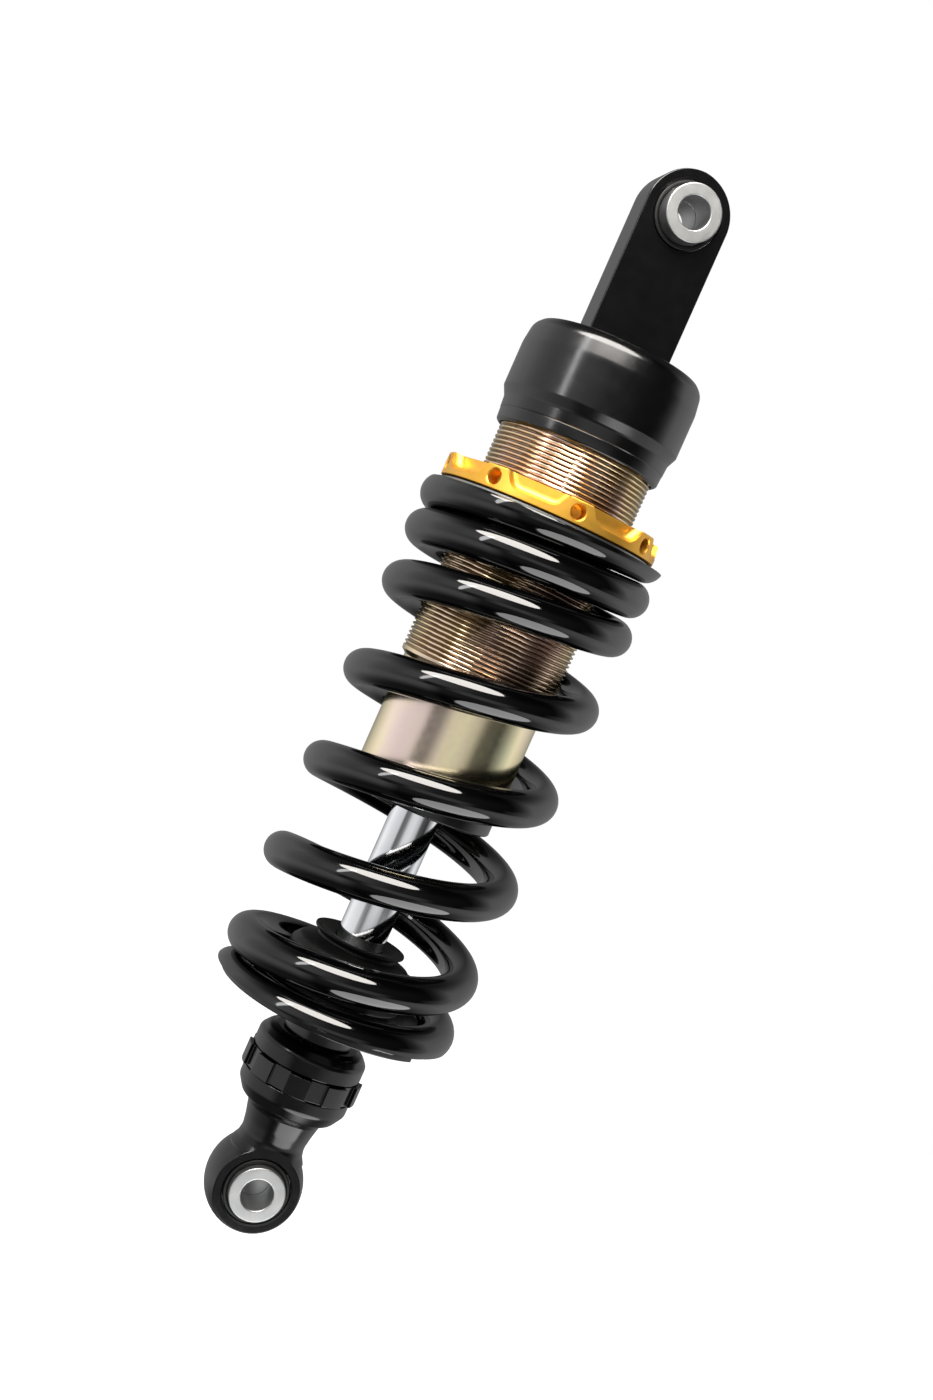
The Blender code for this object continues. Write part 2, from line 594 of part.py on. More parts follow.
def lower_mount(group, cutters, finishes, sleeve_r, detent_r):
    """Lower cup, tapered neck and barrel-shaped eye, spot-faced on both sides."""
    centre = -EYE_TO_EYE
    socket_z = ROD_BOTTOM_Z - GAP
    cup_top = KNOB_BOTTOM_Z - GAP
    sleeve_top = KNOB_TOP_Z - GAP
    bore = ROD_R + GAP
    profile = [(0.0, socket_z), (bore, socket_z), (bore, sleeve_top), (sleeve_r, sleeve_top),
               (sleeve_r, cup_top), (CUP_R - 0.3 * MM, cup_top), (CUP_R, cup_top - 0.3 * MM),
               (CUP_R - 0.1 * MM, -305.0 * MM), (CUP_R - 2.6 * MM, -308.4 * MM),
               (12.9 * MM, -310.4 * MM), (12.5 * MM, -311.2 * MM), (11.4 * MM, -316.0 * MM),
               (10.8 * MM, -320.5 * MM), (11.2 * MM, -322.6 * MM), (12.2 * MM, -325.0 * MM),
               (12.2 * MM, -328.0 * MM), (0.0, -328.0 * MM)]
    mount = turned("lower_mount", profile, group, finishes["black"], FINE)
    combine(mount, eye_barrel(cutters, centre), "UNION")
    spot_r = 15.0 * MM
    depth = 20.0 * MM
    for side in (1, -1):
        place = Matrix.Translation((0.0, side * (LOWER_FACE_HALF + 0.5 * depth), centre))
        place = place @ Matrix.Rotation(math.pi / 2, 4, "X")
        cut(mount, drill(f"spot_face_{side}", spot_r, depth, cutters, place, 32))
    cut(mount, housing_bore("lower_bore", cutters, LOWER_FACE_HALF, centre))
    slot_low = PIN_Z - 2.8 * MM
    slot_height = 12.0 * MM
    cut(mount, box("sleeve_slot", (4 * sleeve_r, 2.6 * MM, slot_height), cutters,
                   Matrix.Translation((0.0, 0.0, slot_low + 0.5 * slot_height))))
    hole_depth = 5.6 * MM
    cut(mount, drill("detent_hole", 1.5 * MM, 2 * hole_depth, cutters,
                     Matrix.Translation((0.0, detent_r, cup_top)), 10))


# ---------------------------------------------------------------- spring and preload ring

def ease(value, start, end):
    t = min(max((value - start) / (end - start), 0.0), 1.0)
    return t * t * (3 - 2 * t)


def coil_openness(turn):
    """0 where the coils are closed and 1 where they are fully open, by turns from the foot."""
    foot_closed, foot_open = 0.8, 1.5
    head_open, head_closed = 4.4, 6.1
    return ease(turn, foot_closed, foot_open) * (1.0 - ease(turn, head_open, head_closed))


def coil_heights(samples):
    """Height of the centreline at equal steps along the wire, from the foot to the head."""
    closed = 2 * WIRE_R + COIL_CLEARANCE
    shares = [coil_openness(SPRING_TURNS * (i + 0.5) / samples) for i in range(samples)]
    rise = COIL_HEAD_Z - COIL_FOOT_Z
    extra = (rise - closed * SPRING_TURNS) / sum(shares)
    heights = [COIL_FOOT_Z]
    for share in shares:
        heights.append(heights[-1] + closed * SPRING_TURNS / samples + extra * share)
    return heights


def coil_centreline():
    """Points of the spring's centreline: its two ends, and every stop of an even division of
    the circle between them."""
    per_turn = 16
    samples = 3000
    heights = coil_heights(samples)
    first = SPRING_START / (2 * math.pi)
    stops = [k / per_turn - first for k in range(int((first + SPRING_TURNS) * per_turn) + 1)]
    turns = [0.0] + [t for t in stops if 0.02 < t < SPRING_TURNS - 0.02] + [SPRING_TURNS]
    points = []
    for turn in turns:
        place = turn / SPRING_TURNS * samples
        index = min(int(place), samples - 1)
        height = heights[index] + (heights[index + 1] - heights[index]) * (place - index)
        angle = SPRING_START + 2 * math.pi * turn
        points.append((SPRING_MEAN_R * math.cos(angle), SPRING_MEAN_R * math.sin(angle), height))
    return points


def spring(group, cutters, finishes):
    coil = wire("spring", coil_centreline(), WIRE_R, 2, group)
    coil = as_mesh(coil, group, finishes["spring"])
    thick = 20.0 * MM
    wide = 4 * SPRING_MEAN_R
    for name, face, sign in (("foot", SPRING_BOTTOM_Z, -1), ("head", SPRING_TOP_Z, 1)):
        cut(coil, box(f"grind_{name}", (wide, wide, thick), cutters,
                      Matrix.Translation((0.0, 0.0, face + sign * 0.5 * thick))))


def preload_ring(group, cutters, finishes):
    """Ring nut with radial spanner holes and a milled pocket between each two holes."""
    bore = THREAD_R + GAP
    nut = ring("preload_ring", bore, RING_R, RING_BOTTOM_Z, RING_TOP_Z, group,
               finishes["gold"], 0.5 * MM, FINE)
    middle = 0.5 * (RING_TOP_Z + RING_BOTTOM_Z)
    hole_r, hole_depth = 2.4 * MM, 6.0 * MM
    pocket_half, pocket_in = 9.5 * MM, 5.3 * MM
    pocket_floor = RING_BOTTOM_Z + 2.2 * MM
    for i in range(RING_FEATURES):
        angle = RING_HOLE_ANGLE + 2 * math.pi * i / RING_FEATURES
        turn = Matrix.Rotation(angle, 4, "Z")
        lie = Matrix.Rotation(math.pi / 2, 4, "Y")
        cut(nut, drill(f"spanner_hole_{i}", hole_r, 2 * hole_depth, cutters,
                       turn @ Matrix.Translation((RING_R, 0.0, middle)) @ lie, 8))
        turn = Matrix.Rotation(angle + math.pi / RING_FEATURES, 4, "Z")
        height = 10.0 * MM
        cut(nut, box(f"ring_pocket_{i}", (2 * pocket_in, 2 * pocket_half, height), cutters,
                     turn @ Matrix.Translation((RING_R, 0.0, pocket_floor + 0.5 * height))))
    ring("slip_washer", bore, RING_R - 1.0 * MM, SPRING_TOP_Z + GAP, RING_BOTTOM_Z - GAP,
         group, finishes["steel"], facets=FINE)


# ---------------------------------------------------------------- assembly

def settle(group):
    """Give every piece its finished mesh, smooth where it is round."""
    bpy.context.view_layer.update()
    graph = bpy.context.evaluated_depsgraph_get()
    meshes = {piece: bpy.data.meshes.new_from_object(piece.evaluated_get(graph))
              for piece in group.objects}
    for piece, mesh in meshes.items():
        piece.modifiers.clear()
        piece.data = mesh
        mesh.shade_smooth()
        mesh.set_sharp_from_angle(angle=math.radians(35.0))


def main():
    for thing in list(bpy.data.objects):
        bpy.data.objects.remove(thing, do_unlink=True)
    parts = collection("coilover")
    cutters = collection("cutters")
    finishes = {
        "black": material("satin_black", (0.018, 0.018, 0.021), 0.42, 0.0),
        "spring": material("gloss_black", (0.008, 0.008, 0.009), 0.08, 0.0),
        "rubber": material("rubber", (0.015, 0.015, 0.015), 0.75, 0.0),
        "gold": material("gold_anodised", (0.62, 0.42, 0.11), 0.32, 1.0),
        "zinc": material("yellow_zinc", (0.72, 0.62, 0.48), 0.22, 1.0),
        "chrome": material("hard_chrome", (0.78, 0.79, 0.80), 0.06, 1.0),
        "steel": material("steel", (0.62, 0.62, 0.62), 0.34, 1.0),
        "bearing": material("bearing_steel", (0.45, 0.45, 0.46), 0.22, 1.0),
        "alloy": material("alloy", (0.70, 0.71, 0.72), 0.38, 1.0),
        "bronze": material("bronze", (0.52, 0.34, 0.16), 0.45, 1.0),
    }
    eye_hardware("upper", 0.0, UPPER_FACE_HALF, UPPER_HALF_WIDTH, parts, cutters,
                 finishes)
    eye_hardware("lower", -EYE_TO_EYE, LOWER_FACE_HALF, LOWER_HALF_WIDTH, parts, cutters,
                 finishes)
    upper_mount(parts, cutters, finishes)
    damper_tube(parts, cutters, finishes)
    seal_head(parts, finishes)
    floating_piston(parts, finishes)
    piston_rod(parts, cutters, finishes)
    piston_stack(parts, cutters, finishes)
    metering(parts, finishes)
    bump_stop(parts, finishes)
    spring_seat(parts, cutters, finishes)
    sleeve_r = adjuster(parts, cutters, finishes)
    detent_r = 15.2 * MM
    detent(parts, finishes, detent_r)
    lower_mount(parts, cutters, finishes, sleeve_r, detent_r)
    preload_ring(parts, cutters, finishes)
    spring(parts, cutters, finishes)
    settle(parts)


main()
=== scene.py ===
"""Finish, fine shapes and studio of the coilover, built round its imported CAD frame."""
import json
import math

import bmesh
import bpy
import numpy as np
from mathutils import Matrix, Vector

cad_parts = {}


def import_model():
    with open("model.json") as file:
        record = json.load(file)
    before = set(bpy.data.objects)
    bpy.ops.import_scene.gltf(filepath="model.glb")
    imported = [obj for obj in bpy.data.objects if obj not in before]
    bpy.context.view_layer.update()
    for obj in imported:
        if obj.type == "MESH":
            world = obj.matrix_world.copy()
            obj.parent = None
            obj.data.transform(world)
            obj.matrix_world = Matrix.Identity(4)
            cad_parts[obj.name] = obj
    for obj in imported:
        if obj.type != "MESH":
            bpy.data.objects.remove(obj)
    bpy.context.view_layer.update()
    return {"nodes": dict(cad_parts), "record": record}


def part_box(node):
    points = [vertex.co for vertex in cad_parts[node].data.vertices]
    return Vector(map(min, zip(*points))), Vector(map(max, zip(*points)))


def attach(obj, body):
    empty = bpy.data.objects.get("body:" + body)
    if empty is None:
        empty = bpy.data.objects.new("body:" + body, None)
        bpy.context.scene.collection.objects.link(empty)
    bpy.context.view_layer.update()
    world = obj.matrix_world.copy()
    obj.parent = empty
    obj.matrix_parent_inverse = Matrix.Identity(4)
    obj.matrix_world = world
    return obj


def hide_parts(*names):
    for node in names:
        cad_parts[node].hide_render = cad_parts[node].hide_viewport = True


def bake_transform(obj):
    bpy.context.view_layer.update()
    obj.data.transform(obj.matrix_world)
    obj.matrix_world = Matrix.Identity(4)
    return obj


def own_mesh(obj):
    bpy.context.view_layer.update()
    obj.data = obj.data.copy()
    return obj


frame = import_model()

MM = 0.001

# Places read from the frame
EYE_Z = {"upper": 0.0, "lower": 0.5 * (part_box("lower_race")[0].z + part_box("lower_race")[1].z)}
EYE_WIDE = {end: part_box(f"{end}_spacer_back")[1].y for end in EYE_Z}
SEAL_FACE = {end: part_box(f"{end}_seal_back")[1].y for end in EYE_Z}
SPACER_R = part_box("upper_spacer_front")[1].x
CAP_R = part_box("upper_mount")[1].x
TUBE_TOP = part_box("damper_tube")[1].z
TUBE_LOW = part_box("damper_tube")[0].z
THREAD_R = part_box("damper_tube")[1].x
END_CAP_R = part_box("tube_end_cap")[1].x
END_CAP_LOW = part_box("tube_end_cap")[0].z
RING_LOW, RING_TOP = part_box("preload_ring")[0].z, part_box("preload_ring")[1].z
WASHER_LOW, WASHER_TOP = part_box("slip_washer")[0].z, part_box("slip_washer")[1].z
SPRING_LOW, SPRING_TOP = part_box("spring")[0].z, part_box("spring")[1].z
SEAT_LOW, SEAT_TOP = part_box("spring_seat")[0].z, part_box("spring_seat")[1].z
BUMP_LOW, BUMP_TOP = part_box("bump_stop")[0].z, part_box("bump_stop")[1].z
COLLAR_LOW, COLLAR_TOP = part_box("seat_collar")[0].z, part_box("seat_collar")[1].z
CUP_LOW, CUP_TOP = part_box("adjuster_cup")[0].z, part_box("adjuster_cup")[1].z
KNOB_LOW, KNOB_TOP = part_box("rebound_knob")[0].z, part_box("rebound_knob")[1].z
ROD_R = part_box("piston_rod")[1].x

# Sizes that a box in the frame doesn't give
EYE_HALF_WIDE = {"upper": 6.9 * MM, "lower": 9.6 * MM}
CAP_TOP = -46.5 * MM
RING_R = 36.5 * MM
CUP_R = 18.4 * MM
SLEEVE_R = 13.0 * MM
PIN_SLOT_WIDE = 2.6 * MM
GAP = 0.3 * MM                    # clearance between neighbours

# Law of the coils, as in the frame
SPRING_MEAN_R = 34.6 * MM
WIRE_R = 5.95 * MM
SPRING_TURNS = 7.5
SPRING_START = math.radians(165.0)
COIL_CLEARANCE = 0.15 * MM
COIL_FOOT_Z = -274.4 * MM
COIL_HEAD_Z = -103.4 * MM
SPLIT_TURN = 4.6                  # the turn where the wire is split in two lengths


# ---------------------------------------------------------------- materials

class Nodes:
    """A small helper that adds shader nodes and links them."""

    def __init__(self, name):
        self.material = bpy.data.materials.new(name)
        self.material.use_nodes = True
        self.tree = self.material.node_tree
        self.shader = self.tree.nodes["Principled BSDF"]
        self.place = self.add("ShaderNodeTexCoord").outputs["Object"]

    def add(self, kind, **values):
        node = self.tree.nodes.new(kind)
        for key, value in values.items():
            if key in node.inputs:
                node.inputs[key].default_value = value
            else:
                setattr(node, key, value)
        return node

    def link(self, source, target):
        self.tree.links.new(source, target)

    def noise(self, scale, detail=4.0, stretch=(1.0, 1.0, 1.0)):
        """Noise in the piece's own coordinates, drawn out along an axis by a low stretch."""
        mapping = self.add("ShaderNodeMapping", Scale=stretch)
        self.link(self.place, mapping.inputs["Vector"])
        node = self.add("ShaderNodeTexNoise", Scale=scale, Detail=detail)
        self.link(mapping.outputs["Vector"], node.inputs["Vector"])
        return node.outputs["Fac"]

    def ramp(self, source, stops):
        """Colours by a value, from (place, colour) pairs."""
        node = self.add("ShaderNodeValToRGB")
        elements = node.color_ramp.elements
        while len(elements) < len(stops):
            elements.new(0.5)
        for element, (place, colour) in zip(elements, stops):
            element.position = place
            element.color = (*colour, 1.0)
        self.link(source, node.inputs["Fac"])
        return node.outputs["Color"]

    def span(self, source, low, high):
        """Noise, which keeps to its middle values, spread between two numbers."""
        node = self.add("ShaderNodeMapRange")
        for socket, value in (("From Min", 0.3), ("From Max", 0.7), ("To Min", low),
                              ("To Max", high)):
            node.inputs[socket].default_value = value
        self.link(source, node.inputs["Value"])
        return node.outputs["Result"]

    def bump(self, source, distance):
        node = self.add("ShaderNodeBump", Strength=1.0, Distance=distance)
        self.link(source, node.inputs["Height"])
        return node.outputs["Normal"]

    def finish(self, colour, roughness, normal=None, metallic=0.0):
        """Wire the shader and give back the material."""
        self.link(colour, self.shader.inputs["Base Color"])
        self.link(roughness, self.shader.inputs["Roughness"])
        if normal is not None:
            self.link(normal, self.shader.inputs["Normal"])
        self.shader.inputs["Metallic"].default_value = metallic
        return self.material


def coated(name, dark, light, rough, grain_scale, grain_depth, specular):
    """A black coating: faint clouding, a grain in its surface and uneven gloss."""
    n = Nodes(name)
    colour = n.ramp(n.noise(90.0), [(0.35, dark), (0.65, light)])
    grain = n.noise(grain_scale, 2.0)
    n.shader.inputs["Specular IOR Level"].default_value = specular
    return n.finish(colour, n.span(n.noise(260.0), *rough), n.bump(grain, grain_depth))


def metal(name, dark, light, rough, scratch=(1.0, 1.0, 1.0), scratch_scale=900.0, depth=2e-6):
    """A bare or plated metal with fine tool marks along one direction."""
    n = Nodes(name)
    colour = n.ramp(n.noise(140.0), [(0.3, dark), (0.7, light)])
    marks = n.noise(scratch_scale, 3.0, scratch)
    return n.finish(colour, n.span(n.noise(320.0, 3.0, scratch), *rough), n.bump(marks, depth),
                    metallic=1.0)


def yellow_zinc():
    """Yellow chromate on zinc: straw, with drifting pink and green, and painted shade down in the
    thread's roots.
    """
    n = Nodes("yellow_zinc")
    drift = n.noise(34.0, 3.0, (1.0, 1.0, 0.45))
    film = n.ramp(drift, [(0.30, (0.68, 0.70, 0.46)), (0.43, (0.80, 0.70, 0.46)),
                          (0.55, (0.83, 0.68, 0.58)), (0.68, (0.80, 0.60, 0.66))])
    across = n.add("ShaderNodeVectorMath", operation="MULTIPLY")
    across.inputs[1].default_value = (1.0, 1.0, 0.0)
    n.link(n.place, across.inputs[0])
    radius = n.add("ShaderNodeVectorMath", operation="LENGTH")
    n.link(across.outputs["Vector"], radius.inputs[0])
    depth = n.add("ShaderNodeMapRange")
    depth.inputs["From Min"].default_value = 24.0 * MM         # just inside the plain tube
    depth.inputs["From Max"].default_value = 26.0 * MM         # just outside the thread's crests
    n.link(radius.outputs["Value"], depth.inputs["Value"])
    # painted shade: the thread is darkened by radius, darkest at its roots and lighter towards its
    # crests, while the plain tube keeps its own colour
    painted_groove_shade = n.ramp(depth.outputs["Result"],
                   [(0.15, (1.0, 1.0, 1.0)), (0.38, (0.36, 0.30, 0.29)),
                    (0.60, (0.46, 0.39, 0.38)), (0.84, (0.90, 0.85, 0.84))])
    colour = n.add("ShaderNodeMixRGB", blend_type="MULTIPLY", Fac=1.0)
    straw = n.add("ShaderNodeMixRGB", Color2=(0.80, 0.71, 0.36, 1.0))
    aside = n.add("ShaderNodeLayerWeight", Blend=0.35)
    n.link(n.ramp(aside.outputs["Facing"], [(0.25, (0.0, 0.0, 0.0)), (0.75, (0.90, 0.90, 0.90))]),
           straw.inputs["Fac"])
    n.link(film, straw.inputs["Color1"])
    n.link(straw.outputs["Color"], colour.inputs["Color1"])
    n.link(painted_groove_shade, colour.inputs["Color2"])
    return n.finish(colour.outputs["Color"], n.span(n.noise(500.0), 0.17, 0.21),
                    n.bump(n.noise(1600.0, 2.0), 2e-7), metallic=1.0)


def gold_anodised():
    """Gold dye in a satin, anodised alloy."""
    n = Nodes("gold_anodised")
    colour = n.ramp(n.noise(120.0), [(0.3, (0.68, 0.36, 0.045)), (0.7, (0.76, 0.41, 0.062))])
    return n.finish(colour, n.span(n.noise(700.0), 0.38, 0.44),
                    n.bump(n.noise(2600.0, 2.0), 3e-6), metallic=0.92)


FINISH = {
    "forged_black": coated("forged_black", (0.0006, 0.0006, 0.0008), (0.0012, 0.0012, 0.0015),
                           (0.17, 0.21), 2400.0, 3e-6, specular=0.36),
    "cap_black": coated("cap_black", (0.0004, 0.0004, 0.0005), (0.0008, 0.0008, 0.0009),
                        (0.17, 0.22), 2600.0, 3e-6, specular=0.50),
    "spring_gloss": coated("spring_gloss", (0.0003, 0.0003, 0.0004), (0.0006, 0.0006, 0.0007),
                           (0.045, 0.075), 420.0, 3e-6, specular=0.50),
    "rubber": coated("rubber", (0.0022, 0.0022, 0.0022), (0.0040, 0.0040, 0.0040),
                     (0.46, 0.60), 1800.0, 1.2e-5, specular=0.30),
    "gold_anodised": gold_anodised(),
    "yellow_zinc": yellow_zinc(),
    "hard_chrome": metal("hard_chrome", (0.74, 0.76, 0.79), (0.80, 0.81, 0.83), (0.05, 0.09),
                         (1.0, 1.0, 12.0), 300.0, 4e-7),
    "spacer_steel": metal("spacer_steel", (0.31, 0.32, 0.32), (0.38, 0.38, 0.375), (0.36, 0.44),
                          (1.0, 1.0, 1.0), 2200.0, 6e-6),
    "bearing_steel": metal("bearing_steel", (0.36, 0.36, 0.37), (0.48, 0.48, 0.49),
                           (0.18, 0.30)),
    "alloy": metal("alloy", (0.62, 0.63, 0.64), (0.74, 0.75, 0.76), (0.30, 0.42)),
    "bronze": metal("bronze", (0.44, 0.28, 0.12), (0.56, 0.37, 0.17), (0.36, 0.50)),
}
SLOT = {row["node"]: row["material_slot"] for row in frame["record"]["subparts"]}


# ---------------------------------------------------------------- mesh tools

def smooth(thing, angle):
    """Smooth shading, except across edges sharper than the angle in degrees."""
    thing.data.shade_smooth()
    thing.data.set_sharp_from_angle(angle=math.radians(angle))


def new_piece(name, mesh):
    thing = bpy.data.objects.new(name, mesh)
    bpy.context.scene.collection.objects.link(thing)
    return thing


def piece_from(shape, name):
    """A new piece with a bmesh's geometry; the bmesh is used up."""
    mesh = bpy.data.meshes.new(name)
    shape.to_mesh(mesh)
    shape.free()
    return new_piece(name, mesh)


def publish(thing, body, node, angle=32.0):
    """Finish a piece that stands for one CAD node: its material, its place and its body. The
    large faces set the shading, so that a rounded edge doesn't bend what is next to it."""
    smooth(thing, angle)
    shading = thing.modifiers.new("shading", "WEIGHTED_NORMAL")
    shading.keep_sharp = True
    thing.data.materials.clear()
    thing.data.materials.append(FINISH[SLOT[node]])
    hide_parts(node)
    if body:
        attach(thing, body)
    return thing


def outward(mesh):
    """Turn all of a closed mesh's faces outward."""
    shape = bmesh.new()
    shape.from_mesh(mesh)
    bmesh.ops.recalc_face_normals(shape, faces=shape.faces)
    shape.to_mesh(mesh)
    shape.free()


def rounded(points, steps=4):
    """A profile whose points are (radius, z) or (radius, z, corner): each corner with a
    rounding radius becomes an arc. The profile's ends are never rounded unless it is a loop."""
    closed = points[0][0] > 0.0
    made = []
    count = len(points)
    for i, point in enumerate(points):
        here = Vector(point[:2])
        corner = point[2] if len(point) > 2 else 0.0
        if corner <= 0.0 or (not closed and i in (0, count - 1)):
            made.append(tuple(here))
            continue
        back = (Vector(points[i - 1][:2]) - here)
        ahead = (Vector(points[(i + 1) % count][:2]) - here)
        opening = back.angle(ahead)
        reach = corner / math.tan(0.5 * opening)
        reach = min(reach, 0.49 * back.length, 0.49 * ahead.length)
        radius = reach * math.tan(0.5 * opening)
        centre = here + (back.normalized() + ahead.normalized()).normalized() * (
            radius / math.sin(0.5 * opening))
        start = here + back.normalized() * reach - centre
        end = here + ahead.normalized() * reach - centre
        sweep = start.angle(end)
        turn = 1.0 if start.x * end.y - start.y * end.x > 0 else -1.0
        for k in range(steps + 1):
            a = turn * sweep * k / steps
            made.append((centre.x + start.x * math.cos(a) - start.y * math.sin(a),
                         centre.y + start.x * math.sin(a) + start.y * math.cos(a)))
    return made


def lathe(name, points, around=128, eye=None, steps=4):
    """A turned piece about Z, or about an eye's bolt axis with +z of the profile to the front."""
    profile = rounded(points, steps)
    closed = points[0][0] > 0.0
    if not closed:
        profile[0] = (0.0, profile[0][1])
        profile[-1] = (0.0, profile[-1][1])
    shape = bmesh.new()
    rings = []
    for r, z in profile:
        if r <= 1e-9:
            rings.append([shape.verts.new((0.0, 0.0, z))] * around)
        else:
            rings.append([shape.verts.new((r * math.cos(2 * math.pi * k / around),
                                           r * math.sin(2 * math.pi * k / around), z))
                          for k in range(around)])
    pairs = list(zip(rings, rings[1:])) + ([(rings[-1], rings[0])] if closed else [])
    for upper, lower in pairs:
        for k in range(around):
            corners = [upper[k], lower[k], lower[(k + 1) % around], upper[(k + 1) % around]]
            corners = [v for i, v in enumerate(corners) if v not in corners[:i]]
            if len(corners) > 2:
                shape.faces.new(corners)
    if eye is not None:
        bmesh.ops.rotate(shape, verts=shape.verts, matrix=Matrix.Rotation(math.pi / 2, 3, "X"))
        bmesh.ops.translate(shape, verts=shape.verts, vec=(0.0, 0.0, eye))
    bmesh.ops.recalc_face_normals(shape, faces=shape.faces)
    return piece_from(shape, name)


def block(name, size, place, bevel=0.0):
    """A box, with its edges rounded if a bevel is given, at a placement matrix."""
    shape = bmesh.new()
    bmesh.ops.create_cube(shape, size=1.0)
    bmesh.ops.scale(shape, vec=Vector(size), verts=shape.verts)
    if bevel:
        bmesh.ops.bevel(shape, geom=list(shape.edges), offset=bevel, segments=3,
                        profile=0.5, affect="EDGES")
    shape.transform(place)
    return piece_from(shape, name)


def moved(thing, place):
    """Place a piece by moving its mesh."""
    thing.data.transform(place)
    return thing


def apply_all(thing):
    """Make a piece's modifiers part of its mesh."""
    bpy.context.view_layer.update()
    graph = bpy.context.evaluated_depsgraph_get()
    mesh = bpy.data.meshes.new_from_object(thing.evaluated_get(graph))
    thing.modifiers.clear()
    old = thing.data
    thing.data = mesh
    bpy.data.meshes.remove(old)


def carve(target, tools, operation="DIFFERENCE"):
    """Cut all tools from the target, or join them on, then throw the tools away."""
    for tool in tools:
        step = target.modifiers.new("cut", "BOOLEAN")
        step.operation = operation
        step.solver = "EXACT"
        step.object = tool
    apply_all(target)
    for tool in tools:
        mesh = tool.data
        bpy.data.objects.remove(tool)
        bpy.data.meshes.remove(mesh)
    return target


def soften(target, width):
    """Round every hard edge a little."""
    step = target.modifiers.new("soften", "BEVEL")
    step.width = width
    step.segments = 2
    step.limit_method = "ANGLE"
    step.angle_limit = math.radians(35.0)
    step.harden_normals = False
    apply_all(target)
    return target


def about_z(angle):
    return Matrix.Rotation(angle, 4, "Z")


# ---------------------------------------------------------------- eyes

def eye_pieces(end, body):
    """The two spacers, which turn with the ball, and the two seals, which stay in the eye."""
    centre, wide, seal = EYE_Z[end], EYE_WIDE[end], SEAL_FACE[end]
    shank_r, bore_r, race_r = 5.85 * MM, 5.2 * MM, 10.7 * MM
    shoulder = 5.3 * MM
    housing = "damper" if end == "upper" else "rod"
    for side, sign in (("front", 1), ("back", -1)):
        spacer = [(bore_r, wide, 0.45 * MM), (SPACER_R, wide, 0.4 * MM),
                  (SPACER_R, shoulder, 0.2 * MM), (shank_r, shoulder), (shank_r, 0.15 * MM),
                  (bore_r, 0.15 * MM, 0.25 * MM)]
        lip = [(race_r, seal, 0.5 * MM), (race_r, shoulder + 0.1 * MM),
               (SPACER_R + 0.3 * MM, shoulder + 0.1 * MM),
               (SPACER_R + 0.15 * MM, seal - 0.5 * MM, 0.15 * MM),
               (SPACER_R + 0.7 * MM, seal, 0.3 * MM)]
        for points, node, rider in ((spacer, f"{end}_spacer_{side}", body),
                                    (lip, f"{end}_seal_{side}", housing)):
            points = [(p[0], sign * p[1], *p[2:]) for p in points]
            publish(lathe(node + "_fine", points, 96, centre), rider, node)


def housing_tool(end):
    """Cutter for the bearing's bore with its circlip grooves, chamfered at both eye faces."""
    face = EYE_HALF_WIDE[end]
    bore_r, chamfer = 11.0 * MM, 0.5 * MM
    groove_r, near, far = 11.9 * MM, 3.65 * MM, 5.0 * MM
    reach = 12.0 * MM
    half = [(0.0, face + reach), (bore_r + chamfer + reach, face + reach),
            (bore_r, face - chamfer), (bore_r, far), (groove_r, far), (groove_r, near),
            (bore_r, near)]
    return lathe("bore_tool", half + [(r, -z) for r, z in reversed(half)], 96, EYE_Z[end])


def slab():
    """The upper eye's slab: flared into the cap at its foot, full round at the top."""
    half_x, half_y = 14.2 * MM, EYE_HALF_WIDE["upper"]
    flare, edge = 2.6 * MM, 0.55 * MM
    levels = [(CAP_TOP - 1.0 * MM, flare)]
    for i in range(9):
        a = math.radians(90.0 * i / 8)
        levels.append((CAP_TOP + flare * (1 - math.cos(a)), flare * (1 - math.sin(a))))
    levels += [(z * MM, 0.0) for z in (-38, -30, -22, -14, -7)]
    sections = [(z, half_x + out, half_y + out) for z, out in levels]
    for i in range(33):
        a = math.radians(88.5 * i / 32)
        sections.append((half_x * math.sin(a), half_x * math.cos(a), half_y))
    shape = bmesh.new()
    loops = []
    corner_steps = 4
    for z, wide, deep in sections:
        r = min(edge, 0.8 * wide)
        loop = []
        for k, (sx, sy) in enumerate(((1, -1), (1, 1), (-1, 1), (-1, -1))):
            for j in range(corner_steps + 1):
                a = math.radians(-90 + 90 * k + 90 * j / corner_steps)
                loop.append(shape.verts.new((sx * (wide - r) + r * math.cos(a),
                                             sy * (deep - r) + r * math.sin(a), z)))
        loops.append(loop)
    for low, high in zip(loops, loops[1:]):
        count = len(low)
        for k in range(count):
            shape.faces.new((low[k], low[(k + 1) % count], high[(k + 1) % count], high[k]))
    shape.faces.new(list(reversed(loops[0])))
    shape.faces.new(loops[-1])
    bmesh.ops.recalc_face_normals(shape, faces=shape.faces)
    return piece_from(shape, "slab")


